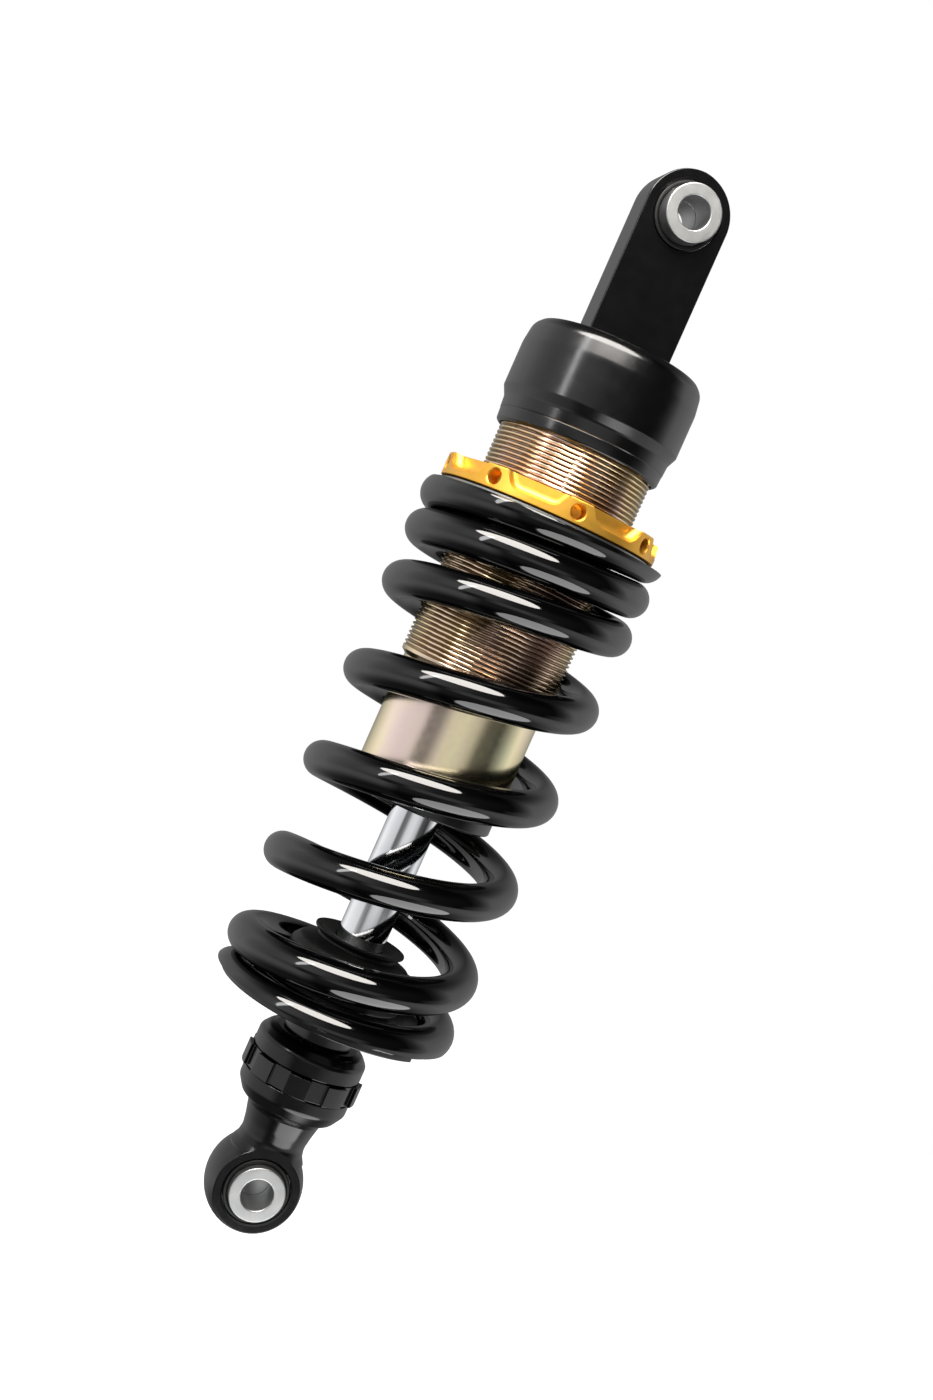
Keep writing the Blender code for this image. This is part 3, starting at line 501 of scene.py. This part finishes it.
def upper_mount():
    """Screw cap and its slab in one piece, with the gas port and its pocket behind the slab."""
    inner, roof = THREAD_R + 0.35 * MM, -58.0 * MM
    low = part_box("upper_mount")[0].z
    outer = [(0.0, CAP_TOP), (26.4 * MM, CAP_TOP, 2.2 * MM),
             (28.8 * MM, CAP_TOP - 2.3 * MM, 5.0 * MM),
             (CAP_R, CAP_TOP - 8.5 * MM, 12.0 * MM), (CAP_R, -69.6 * MM, 1.0 * MM),
             (CAP_R - 1.5 * MM, -72.8 * MM, 3.0 * MM), (CAP_R - 1.75 * MM, -76.4 * MM),
             (CAP_R - 2.0 * MM, -76.7 * MM), (CAP_R - 1.9 * MM, -77.0 * MM),
             (CAP_R - 2.1 * MM, low + 0.8 * MM, 1.2 * MM), (CAP_R - 3.1 * MM, low, 0.3 * MM),
             (inner, low, 0.3 * MM), (inner, roof), (20.7 * MM, roof),
             (20.7 * MM, -61.5 * MM), (18.4 * MM, -61.5 * MM), (18.4 * MM, -64.5 * MM),
             (20.7 * MM, -64.5 * MM), (20.7 * MM, -68.0 * MM), (0.0, -68.0 * MM)]
    cap = lathe("upper_mount_fine", outer, 160, steps=6)
    carve(cap, [slab()], "UNION")
    port = Matrix.Translation((0.0, 15.5 * MM, 0.0))
    pocket = lathe("pocket", [(0.0, CAP_TOP + 5 * MM), (3.0 * MM, CAP_TOP + 5 * MM),
                              (3.0 * MM, -55.3 * MM), (0.0, -55.3 * MM)], 32)
    drill = lathe("drill", [(0.0, -54.0 * MM), (1.2 * MM, -54.0 * MM),
                            (1.2 * MM, -80.0 * MM), (0.0, -80.0 * MM)], 24)
    moved(pocket, port)
    moved(drill, port)
    carve(cap, [housing_tool("upper"), pocket, drill])
    publish(cap, "damper", "upper_mount")
    cap.data.materials.append(FINISH["cap_black"])
    for face in cap.data.polygons:
        face.material_index = 1 if face.center.z < CAP_TOP + 0.05 * MM else 0


def lower_mount():
    """Cup with the knob's sleeve, neck and crowned eye barrel in one forging."""
    centre, face = EYE_Z["lower"], EYE_HALF_WIDE["lower"]
    barrel_r, face_r = 16.0 * MM, 13.9 * MM
    top = KNOB_LOW - GAP
    bore, bore_end, sleeve_top = 8.3 * MM, -316.3 * MM, -293.5 * MM
    neck = [(0.0, bore_end), (bore, bore_end), (bore, sleeve_top),
            (SLEEVE_R, sleeve_top), (SLEEVE_R, top), (CUP_R, top, 0.4 * MM),
            (CUP_R, -304.6 * MM, 3.0 * MM), (CUP_R - 2.4 * MM, -308.4 * MM, 3.0 * MM),
            (13.2 * MM, -310.3 * MM, 0.5 * MM), (12.55 * MM, -311.2 * MM, 0.8 * MM),
            (11.4 * MM, -316.0 * MM, 20.0 * MM), (10.75 * MM, -320.0 * MM, 6.0 * MM),
            (11.3 * MM, -322.8 * MM, 3.0 * MM), (12.6 * MM, -325.2 * MM), (12.0 * MM, -329.0 * MM),
            (0.0, -329.0 * MM)]
    mount = lathe("lower_mount_fine", neck, 128, steps=5)
    crown_steps = 14
    crown = []
    for i in range(1, crown_steps):
        along = (1 - 2 * i / crown_steps) * (face - 0.5 * MM)
        crown.append((barrel_r - (barrel_r - face_r) * (along / face) ** 2, along))
    barrel = lathe("barrel", [(0.0, face), (face_r, face, 0.45 * MM)] + crown
                   + [(face_r, -face, 0.45 * MM), (0.0, -face)], 128, centre)
    carve(mount, [barrel], "UNION")
    tools = [housing_tool("lower")]
    for side in (1, -1):
        near, far = side * (face + 0.02 * MM), side * 30 * MM
        cutter = [(0.0, near), (15.0 * MM, near), (15.0 * MM, far), (0.0, far)]
        tools.append(lathe("spot", cutter, 96, centre))
    tools.append(block("slot", (60 * MM, PIN_SLOT_WIDE, 12 * MM),
                       Matrix.Translation((0, 0, -293.4 * MM))))
    detent_r, detent_end = 1.5 * MM, top - 5.6 * MM
    detent = lathe("hole", [(0.0, top + MM), (detent_r, top + MM), (detent_r, detent_end),
                            (0.0, detent_end)], 24)
    tools.append(moved(detent, Matrix.Translation((0.0, 15.2 * MM, 0.0))))
    carve(mount, tools)
    publish(mount, "rod", "lower_mount", 28.0)


# ---------------------------------------------------------------- damper body

def threaded_tube():
    """Body tube with its real 1.5 mm right-hand thread, plain below and bored through."""
    pitch, depth = 1.5 * MM, 0.85 * MM
    start, end = -79.5 * MM, -158.4 * MM
    around, per_pitch = 112, 6
    plain_r, bore_r = 24.15 * MM, 21.0 * MM
    groove_r, groove_low, groove_top = 22.5 * MM, -197.7 * MM, -196.3 * MM
    rows = int(round((start - end) / (pitch / per_pitch)))

    def radius(z, angle):
        """Rounded crests and roots that follow the helix and run out at the lower end."""
        phase = (z / pitch + angle / (2 * math.pi)) % 1.0
        tooth = 1.0 - abs(2.0 * phase - 1.0)
        share = min(max((tooth - 0.12) / 0.62, 0.0), 1.0)
        fade = min(max((z - end) / (1.5 * pitch), 0.0), 1.0)
        return THREAD_R - depth * (1.0 - share * share * (3 - 2 * share)) * fade

    profile = [(THREAD_R - 0.5 * MM, TUBE_TOP), (THREAD_R, TUBE_TOP - 0.5 * MM)]
    profile += [(None, start + (end - start) * i / rows) for i in range(rows + 1)]
    profile += [(THREAD_R - 0.15 * MM, end - 0.25 * MM), (plain_r + 0.25 * MM, end - 1.2 * MM),
                (plain_r, end - 1.7 * MM), (plain_r, TUBE_LOW + 0.3 * MM),
                (plain_r - 0.3 * MM, TUBE_LOW), (bore_r, TUBE_LOW), (bore_r, groove_low),
                (groove_r, groove_low), (groove_r, groove_top), (bore_r, groove_top),
                (bore_r, TUBE_TOP)]
    verts, faces = [], []
    for r, z in profile:
        for k in range(around):
            a = 2 * math.pi * k / around
            here = radius(z, a) if r is None else r
            verts.append((here * math.cos(a), here * math.sin(a), z))
    count = len(profile)
    for i in range(count):
        j = (i + 1) % count
        for k in range(around):
            m = (k + 1) % around
            faces.append((i * around + k, j * around + k, j * around + m, i * around + m))
    mesh = bpy.data.meshes.new("damper_tube_fine")
    mesh.from_pydata(verts, [], faces)
    outward(mesh)
    publish(new_piece("damper_tube_fine", mesh), "damper", "damper_tube", 50.0)


def end_cap():
    """Flanged cap over the seal head, dished round the rod."""
    flange, top = TUBE_LOW - GAP, -197.9 * MM
    dish, roof = END_CAP_LOW + 0.5 * MM, END_CAP_LOW + 0.8 * MM
    plug_r, bore_r, rod_hole_r = 20.6 * MM, 11.9 * MM, 9.0 * MM
    points = [(plug_r, top), (plug_r, flange), (END_CAP_R, flange, 0.4 * MM),
              (END_CAP_R, END_CAP_LOW, 0.7 * MM), (11.0 * MM, END_CAP_LOW, 0.4 * MM),
              (10.2 * MM, dish), (rod_hole_r, dish, 0.2 * MM), (rod_hole_r, roof),
              (bore_r, roof), (bore_r, top)]
    publish(lathe("tube_end_cap_fine", points, 128), "damper", "tube_end_cap")


def chrome_rod():
    """The rod's chromed outside, with its neck, bore and adjuster slot."""
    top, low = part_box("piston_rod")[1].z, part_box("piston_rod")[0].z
    neck, shoulder, bore = 5.0 * MM, -171.0 * MM, 2.2 * MM
    points = [(neck, top, 0.4 * MM), (neck, shoulder), (ROD_R, shoulder, 0.5 * MM),
              (ROD_R, low, 1.0 * MM), (bore, low), (bore, top)]
    rod = lathe("piston_rod_fine", points, 96)
    slot = block("slot", (4 * ROD_R, PIN_SLOT_WIDE, 5.6 * MM),
                 Matrix.Translation((0, 0, -296.6 * MM)))
    publish(carve(rod, [slot]), "rod", "piston_rod")


# ---------------------------------------------------------------- perch and spring

def preload_ring():
    """Ring nut: eight spanner holes with chamfered mouths, and eight scooped pockets."""
    bore = THREAD_R + GAP
    middle = 0.5 * (RING_LOW + RING_TOP)
    first = math.radians(267.4)
    count = 8
    body = [(bore, RING_TOP, 0.5 * MM), (RING_R, RING_TOP, 0.45 * MM),
            (RING_R, RING_LOW, 0.35 * MM), (bore, RING_LOW, 0.3 * MM)]
    nut = lathe("preload_ring_fine", body, 192)
    tools = []
    lie = Matrix.Translation((RING_R, 0.0, middle)) @ Matrix.Rotation(math.pi / 2, 4, "Y")
    hole_r, rim, depth, reach = 2.35 * MM, 0.45 * MM, 6.0 * MM, 6.0 * MM
    hole = [(0.0, reach), (hole_r + rim + reach, reach), (hole_r, -rim), (hole_r, -depth),
            (0.0, -depth - 1.2 * MM)]
    for i in range(count):
        angle = first + 2 * math.pi * i / count
        tools.append(moved(lathe("hole", hole, 40), about_z(angle) @ lie))
        tools.append(pocket_tool(about_z(angle + math.pi / count), RING_R, RING_TOP))
    carve(nut, tools)
    publish(nut, "ring_nut", "preload_ring")


def pocket_tool(turn, radius, top):
    """Bath-shaped cutter: sloping ends, rounded lower corners and a rounded inner edge."""
    half_top, half_floor, drop, depth = 10.6 * MM, 7.4 * MM, 5.0 * MM, 4.6 * MM
    corner, above, beyond, inner = 4.2 * MM, 6.0 * MM, 6.0 * MM, 2.4 * MM
    slope = (half_top - half_floor) / drop
    lift = 20 * MM                     # keeps the outline on one side while its corners are made
    outline = [(lift + half_top + above * slope, above), (lift + half_floor, -drop, corner),
               (lift - half_floor, -drop, corner), (lift - half_top - above * slope, above)]
    shape = bmesh.new()
    face = shape.faces.new([shape.verts.new((radius + beyond, x - lift, top + z))
                            for x, z in rounded(outline, 8)])
    made = bmesh.ops.extrude_face_region(shape, geom=[face])["geom"]
    back = [v for v in made if isinstance(v, bmesh.types.BMVert)]
    bmesh.ops.translate(shape, verts=back, vec=(-(depth + beyond), 0.0, 0.0))
    edges = [e for e in shape.edges if all(v in back for v in e.verts)]
    bmesh.ops.recalc_face_normals(shape, faces=shape.faces)
    bmesh.ops.bevel(shape, geom=edges, offset=inner, segments=6, profile=0.5, affect="EDGES",
                    clamp_overlap=True)
    shape.transform(turn)
    return piece_from(shape, "pocket")


def slip_washer():
    """Thin washer between the ring nut and the spring."""
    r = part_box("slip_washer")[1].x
    bore = THREAD_R + GAP
    points = [(bore, WASHER_TOP, 0.2 * MM), (r, WASHER_TOP, 0.25 * MM),
              (r, WASHER_LOW, 0.25 * MM), (bore, WASHER_LOW, 0.2 * MM)]
    publish(lathe("slip_washer_fine", points, 160), "spring_perch", "slip_washer")


def ease(value, start, end):
    """A smooth step from 0 to 1 between two values."""
    t = min(max((value - start) / (end - start), 0.0), 1.0)
    return t * t * (3 - 2 * t)


def coil_openness(turn):
    """How open the coils are at a turn: closed at both ends, 1 in between."""
    return ease(turn, 0.8, 1.5) * (1.0 - ease(turn, 4.4, 6.1))


def ground_point(here, out, up, angle):
    """A point on the wire round its centre, held to the planes that the ends are ground to."""
    x, z = WIRE_R * math.cos(angle), WIRE_R * math.sin(angle)
    point = here + out * x + up * z
    for plane, sign in ((SPRING_LOW, 1), (SPRING_TOP, -1)):
        if sign * (plane - point.z) > 0:
            buried = sign * (plane - here.z)
            chord = math.sqrt(max(WIRE_R ** 2 - buried ** 2, 0.0))
            inside = max(-chord, min(chord, x)) if buried > 0 else x
            point = here + out * inside + up * z
            point.z = plane
    return point


def spring_pieces():
    """The coil spring in two lengths of wire that meet at a turn of the body. For each ring of the
    wire the share of the open coils between it and the fixed end is worked out, but nothing uses
    it."""
    samples = 3000
    closed = 2 * WIRE_R + COIL_CLEARANCE
    shares = [coil_openness(SPRING_TURNS * (i + 0.5) / samples) for i in range(samples)]
    extra = (COIL_HEAD_Z - COIL_FOOT_Z - closed * SPRING_TURNS) / sum(shares)
    heights, opened = [COIL_FOOT_Z], [0.0]
    for share in shares:
        heights.append(heights[-1] + closed * SPRING_TURNS / samples + extra * share)
        opened.append(opened[-1] + share)
    grid = np.linspace(0.0, SPRING_TURNS, samples + 1)
    split_share = float(np.interp(SPLIT_TURN, grid, opened))

    def centre(turn):
        a = SPRING_START + 2 * math.pi * turn
        return Vector((SPRING_MEAN_R * math.cos(a), SPRING_MEAN_R * math.sin(a),
                       float(np.interp(turn, grid, heights))))

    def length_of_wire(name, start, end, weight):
        per_turn, sides, step = 96, 40, 1e-3
        count = int(round((end - start) * per_turn))
        verts, faces, weights = [], [], []
        for i in range(count + 1):
            turn = start + (end - start) * i / count
            here = centre(turn)
            a = SPRING_START + 2 * math.pi * turn
            out = Vector((math.cos(a), math.sin(a), 0.0))
            along = centre(min(turn + step, SPRING_TURNS)) - centre(max(turn - step, 0.0))
            up = along.normalized().cross(out) * -1.0
            share = weight(float(np.interp(turn, grid, opened)))
            for k in range(sides):
                verts.append(ground_point(here, out, up, 2 * math.pi * k / sides))
                weights.append(share)
        for i in range(count):
            for k in range(sides):
                m = (k + 1) % sides
                faces.append((i * sides + k, i * sides + m, (i + 1) * sides + m,
                              (i + 1) * sides + k))
        faces.append(tuple(range(sides)))
        faces.append(tuple(count * sides + k for k in reversed(range(sides))))
        mesh = bpy.data.meshes.new(name)
        mesh.from_pydata(verts, [], faces)
        outward(mesh)
        piece = publish(new_piece(name, mesh), None, "spring", 40.0)
        free_end = start if end == SPLIT_TURN else end
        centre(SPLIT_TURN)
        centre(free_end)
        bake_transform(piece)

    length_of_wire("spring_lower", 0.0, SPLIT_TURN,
                   lambda share: 1.0 - share / split_share)
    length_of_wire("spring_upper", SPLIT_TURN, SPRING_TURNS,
                   lambda share: (share - split_share) / (opened[-1] - split_share))


# ---------------------------------------------------------------- lower end

def bump_stop():
    """Dished disc over a groove, and a cone that flares to its foot."""
    bore = ROD_R + GAP
    rim = 15.35 * MM
    points = [(bore, BUMP_TOP - 1.5 * MM), (bore + 1.2 * MM, BUMP_TOP - 1.35 * MM, 1.0 * MM),
              (13.6 * MM, BUMP_TOP - 0.15 * MM, 1.5 * MM), (rim, BUMP_TOP, 0.35 * MM),
              (rim, BUMP_TOP - 1.0 * MM, 0.5 * MM), (13.2 * MM, BUMP_TOP - 2.2 * MM, 0.8 * MM),
              (13.4 * MM, BUMP_TOP - 3.2 * MM, 0.8 * MM),
              (18.6 * MM, BUMP_TOP - 4.9 * MM, 2.5 * MM),
              (20.9 * MM, BUMP_TOP - 7.4 * MM, 2.5 * MM), (21.0 * MM, BUMP_LOW, 0.8 * MM),
              (bore, BUMP_LOW)]
    piece = publish(lathe("bump_stop_fine", points, 112, steps=6), "rod", "bump_stop")
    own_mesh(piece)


def spring_seat():
    """Slotted seat plate with a centring upstand and a hub, its corners broken."""
    plate = SPRING_LOW - GAP
    upstand, pocket_r, pocket = 28.2 * MM, 22.5 * MM, -268.0 * MM
    r, hub, bore = 38.0 * MM, 18.0 * MM, 12.0 * MM
    shelf = plate - 4.0 * MM
    points = [(pocket_r, SEAT_TOP, 0.5 * MM), (upstand, SEAT_TOP, 1.4 * MM),
              (upstand, plate, 0.3 * MM), (r, plate, 0.3 * MM),
              (r, plate - 1.9 * MM, 0.4 * MM), (26.0 * MM, shelf, 1.0 * MM),
              (hub, shelf, 0.3 * MM), (hub, SEAT_LOW, 0.5 * MM), (bore, SEAT_LOW, 0.4 * MM),
              (bore, pocket, 0.3 * MM), (pocket_r, pocket, 0.8 * MM)]
    seat = lathe("spring_seat_fine", points, 144)
    slot = block("slot", (60 * MM, 25.2 * MM, 30 * MM),
                 about_z(math.radians(325.0)) @ Matrix.Translation((30 * MM, 0, -272 * MM)))
    carve(seat, [slot])
    publish(soften(seat, 0.25 * MM), "rod", "spring_seat")
    collar_r, collar_bore = 11.7 * MM, ROD_R + GAP
    collar = [(collar_bore, COLLAR_TOP), (collar_r, COLLAR_TOP, 0.4 * MM),
              (collar_r, COLLAR_LOW, 0.4 * MM), (collar_bore, COLLAR_LOW)]
    publish(lathe("seat_collar_fine", collar, 96), "rod", "seat_collar")


def adjuster():
    """Upper cup, and the knob with nine lobes between flat-bottomed flutes."""
    bore = ROD_R + GAP
    cup = [(bore, CUP_TOP, 0.3 * MM), (13.8 * MM, CUP_TOP, 1.5 * MM),
           (16.2 * MM, CUP_TOP - 0.6 * MM, 2.5 * MM), (CUP_R, CUP_TOP - 3.2 * MM, 2.2 * MM),
           (CUP_R, CUP_LOW, 0.35 * MM), (bore, CUP_LOW, 0.2 * MM)]
    publish(lathe("adjuster_cup_fine", cup, 128, steps=6), "rod", "adjuster_cup")

    r, inner, track, lip = 19.7 * MM, SLEEVE_R + GAP, 15.2 * MM, 0.7 * MM
    points = [(inner, KNOB_TOP), (r, KNOB_TOP, 0.25 * MM), (r, KNOB_LOW, 0.25 * MM),
              (inner, KNOB_LOW), (inner, KNOB_LOW + lip), (track, KNOB_LOW + lip),
              (track, KNOB_TOP - lip), (inner, KNOB_TOP - lip)]
    knob = lathe("rebound_knob_fine", points, 144)
    lobes = 9
    flute, depth = 5.9 * MM, 1.5 * MM
    middle = 0.5 * (KNOB_TOP + KNOB_LOW)
    first = math.radians(277.0)
    tools = []
    for i in range(lobes):
        turn = about_z(2 * math.pi * i / lobes + first)
        place = turn @ Matrix.Translation((r - depth + 3 * MM, 0.0, middle))
        tools.append(block("flute", (6 * MM, flute, 14 * MM), place, 0.35 * MM))
    carve(knob, tools)
    publish(soften(knob, 0.18 * MM), "knob", "rebound_knob")


# ---------------------------------------------------------------- studio

CAMERA_AZIMUTH = math.radians(-15.0)
CAMERA_DISTANCE = 524.0 * MM
CAMERA_HEIGHT = -141.3 * MM
CAMERA_PITCH = math.radians(-2.68)
CAMERA_ROLL = math.radians(23.92)
CAMERA_LENS = 42.28
FLOOR_Z = -0.75
LIGHT_TARGET = Vector((0.0, 0.0, -0.19))


def camera_directions():
    """The camera's right, up and view directions: turned about the shock, tipped, then rolled."""
    a, t, roll = CAMERA_AZIMUTH, CAMERA_PITCH, CAMERA_ROLL
    ahead = Vector((-math.sin(a), math.cos(a), 0.0))
    right = Vector((math.cos(a), math.sin(a), 0.0))
    level = Vector((0.0, 0.0, 1.0))
    view = ahead * math.cos(t) + level * math.sin(t)
    up = level * math.cos(t) - ahead * math.sin(t)
    return (right * math.cos(roll) + up * math.sin(roll),
            up * math.cos(roll) - right * math.sin(roll), view)


def camera():
    """The photograph's camera, as fitted to the shock's circles."""
    data = bpy.data.cameras.new("camera")
    data.lens = CAMERA_LENS
    data.sensor_width = 36.0
    data.clip_start = 0.01
    thing = bpy.data.objects.new("camera", data)
    right, up, view = camera_directions()
    a = CAMERA_AZIMUTH
    place = Vector((math.sin(a) * CAMERA_DISTANCE, -math.cos(a) * CAMERA_DISTANCE,
                    CAMERA_HEIGHT))
    turn = Matrix((right, up, -view)).transposed().to_4x4()
    thing.matrix_world = Matrix.Translation(place) @ turn
    bpy.context.scene.collection.objects.link(thing)
    bpy.context.scene.camera = thing


def softbox(name, azimuth, elevation, size, radiance, colour=(1.0, 1.0, 1.0), distance=0.8):
    """An oval light that faces the middle of the shock from a direction relative to the
    camera's side, and isn't seen itself."""
    a = CAMERA_AZIMUTH + math.radians(azimuth)
    e = math.radians(elevation)
    out = Vector((math.sin(a) * math.cos(e), -math.cos(a) * math.cos(e), math.sin(e)))
    data = bpy.data.lights.new(name, "AREA")
    data.shape = "ELLIPSE"
    data.size, data.size_y = size
    data.energy = radiance * math.pi * size[0] * size[1]
    data.color = colour
    thing = bpy.data.objects.new(name, data)
    thing.location = LIGHT_TARGET + out * distance
    thing.rotation_euler = out.to_track_quat("Z", "Y").to_euler()
    thing.visible_camera = False
    bpy.context.scene.collection.objects.link(thing)


# Brightness round the shock by azimuth from the camera's side: well below the horizon, at it,
# and above it
AROUND_BELOW = [(-180, 0.15), (-150, 0.45), (-110, 1.1), (-70, 1.1), (-38, 1.1), (-22, 0.20),
                (6, 0.16), (30, 0.25), (44, 0.75), (62, 1.1), (112, 1.1), (150, 0.45),
                (180, 0.15)]
AROUND_LEVEL = [(-180, 0.15), (-150, 0.45), (-110, 1.1), (-75, 0.85), (-48, 0.72), (-38, 0.14),
                (-22, 0.22), (-6, 0.80), (14, 0.85), (34, 0.60), (46, 0.10), (72, 0.04),
                (86, 0.32), (112, 1.0), (150, 0.45), (180, 0.15)]
AROUND_ABOVE = [(-180, 0.15), (-150, 0.45), (-110, 1.1), (-75, 0.85), (-62, 1.0), (-44, 1.1),
                (-26, 0.85), (-8, 0.50), (6, 0.22), (40, 0.10), (82, 0.04), (92, 0.25),
                (108, 1.1), (150, 0.45), (180, 0.15)]
BRIGHTEST = 1.2


def world():
    """White seen directly. As a light, it is bright at both sides, dim behind and overhead, and
    in front it is the photographer's dark side with a pale patch below the lens."""
    made = bpy.data.worlds.new("studio")
    bpy.context.scene.world = made
    made.use_nodes = True
    tree = made.node_tree
    tree.nodes.clear()
    add, link = tree.nodes.new, tree.links.new

    def math_node(operation, *sources):
        node = add("ShaderNodeMath")
        node.operation = operation
        for socket, source in zip(node.inputs, sources):
            if isinstance(source, float):
                socket.default_value = source
            else:
                link(source, socket)
        return node.outputs["Value"]

    def mapped(source, low, high, first, last):
        node = add("ShaderNodeMapRange")
        node.interpolation_type = "SMOOTHSTEP"
        for socket, value in (("From Min", low), ("From Max", high), ("To Min", first),
                              ("To Max", last)):
            node.inputs[socket].default_value = value
        link(source, node.inputs["Value"])
        return node.outputs["Result"]

    def around(source, stops):
        node = add("ShaderNodeValToRGB")
        elements = node.color_ramp.elements
        while len(elements) < len(stops):
            elements.new(0.5)
        for element, (azimuth, value) in zip(elements, stops):
            element.position = (azimuth + 180.0) / 360.0
            element.color = (*([value / BRIGHTEST] * 3), 1.0)
        link(source, node.inputs["Fac"])
        return node.outputs["Color"]

    turned = add("ShaderNodeVectorRotate")
    turned.rotation_type = "Z_AXIS"
    turned.inputs["Angle"].default_value = -CAMERA_AZIMUTH
    link(add("ShaderNodeTexCoord").outputs["Generated"], turned.inputs["Vector"])
    split = add("ShaderNodeSeparateXYZ")
    link(turned.outputs["Vector"], split.inputs["Vector"])
    toward = math_node("MULTIPLY", split.outputs["Y"], -1.0)
    azimuth = math_node("ARCTAN2", split.outputs["X"], toward)
    share = math_node("MULTIPLY_ADD", azimuth, 0.5 / math.pi, 0.5)
    lower, blend = add("ShaderNodeMixRGB"), add("ShaderNodeMixRGB")
    link(mapped(split.outputs["Z"], -0.26, -0.16, 0.0, 1.0), lower.inputs["Fac"])
    link(around(share, AROUND_BELOW), lower.inputs["Color1"])
    link(around(share, AROUND_LEVEL), lower.inputs["Color2"])
    link(mapped(split.outputs["Z"], 0.0, 0.13, 0.0, 1.0), blend.inputs["Fac"])
    link(lower.outputs["Color"], blend.inputs["Color1"])
    link(around(share, AROUND_ABOVE), blend.inputs["Color2"])
    height = math_node("ABSOLUTE", split.outputs["Z"])
    strength = mapped(height, 0.40, 0.85, BRIGHTEST, 0.1 * BRIGHTEST)

    seen, light = add("ShaderNodeBackground"), add("ShaderNodeBackground")
    seen.inputs["Color"].default_value = (1.0, 1.0, 1.0, 1.0)
    link(blend.outputs["Color"], light.inputs["Color"])
    link(strength, light.inputs["Strength"])
    mix, out = add("ShaderNodeMixShader"), add("ShaderNodeOutputWorld")
    link(add("ShaderNodeLightPath").outputs["Is Camera Ray"], mix.inputs["Fac"])
    link(light.outputs["Background"], mix.inputs[1])
    link(seen.outputs["Background"], mix.inputs[2])
    link(mix.outputs["Shader"], out.inputs["Surface"])


def floor():
    """A plain pale disc, far below the shock."""
    shape = bmesh.new()
    bmesh.ops.create_circle(shape, cap_ends=True, segments=96, radius=3.0)
    thing = piece_from(shape, "floor")
    thing.location.z = FLOOR_Z
    thing.visible_glossy = False       # the studio's own lights are what the shock reflects
    thing.visible_diffuse = False
    thing.visible_shadow = False
    n = Nodes("floor")
    colour = n.ramp(n.noise(3.0), [(0.3, (0.86, 0.86, 0.86)), (0.7, (0.88, 0.88, 0.88))])
    n.finish(colour, n.span(n.noise(8.0), 0.6, 0.7))
    n.shader.inputs["Emission Color"].default_value = (1.0, 1.0, 1.0, 1.0)
    n.shader.inputs["Emission Strength"].default_value = 0.85
    thing.data.materials.append(n.material)


def studio():
    """A warm key above, a narrow strip at the left and a fill from below."""
    softbox("key_top", -20.0, 52.0, (0.98, 0.48), 16.0, (1.0, 0.96, 0.91))
    softbox("strip_left", -45.0, 26.0, (0.08, 0.60), 8.5)
    softbox("fill_low", 48.0, -55.0, (1.30, 0.98), 4.2, distance=1.2)
    bpy.context.scene.view_settings.view_transform = "Standard"


# ---------------------------------------------------------------- assembly

def carry_over():
    """CAD nodes that stay as they are: smooth round faces and their slot's finish."""
    for node, thing in frame["nodes"].items():
        if thing.hide_render:
            continue
        thing.data.materials.clear()
        thing.data.materials.append(FINISH[SLOT[node]])
        smooth(thing, 35.0)


def main():
    camera()
    eye_pieces("upper", "upper_bearing")
    eye_pieces("lower", "lower_bearing")
    upper_mount()
    threaded_tube()
    end_cap()
    chrome_rod()
    preload_ring()
    slip_washer()
    spring_pieces()
    bump_stop()
    spring_seat()
    adjuster()
    lower_mount()
    carry_over()
    world()
    floor()
    studio()


main()
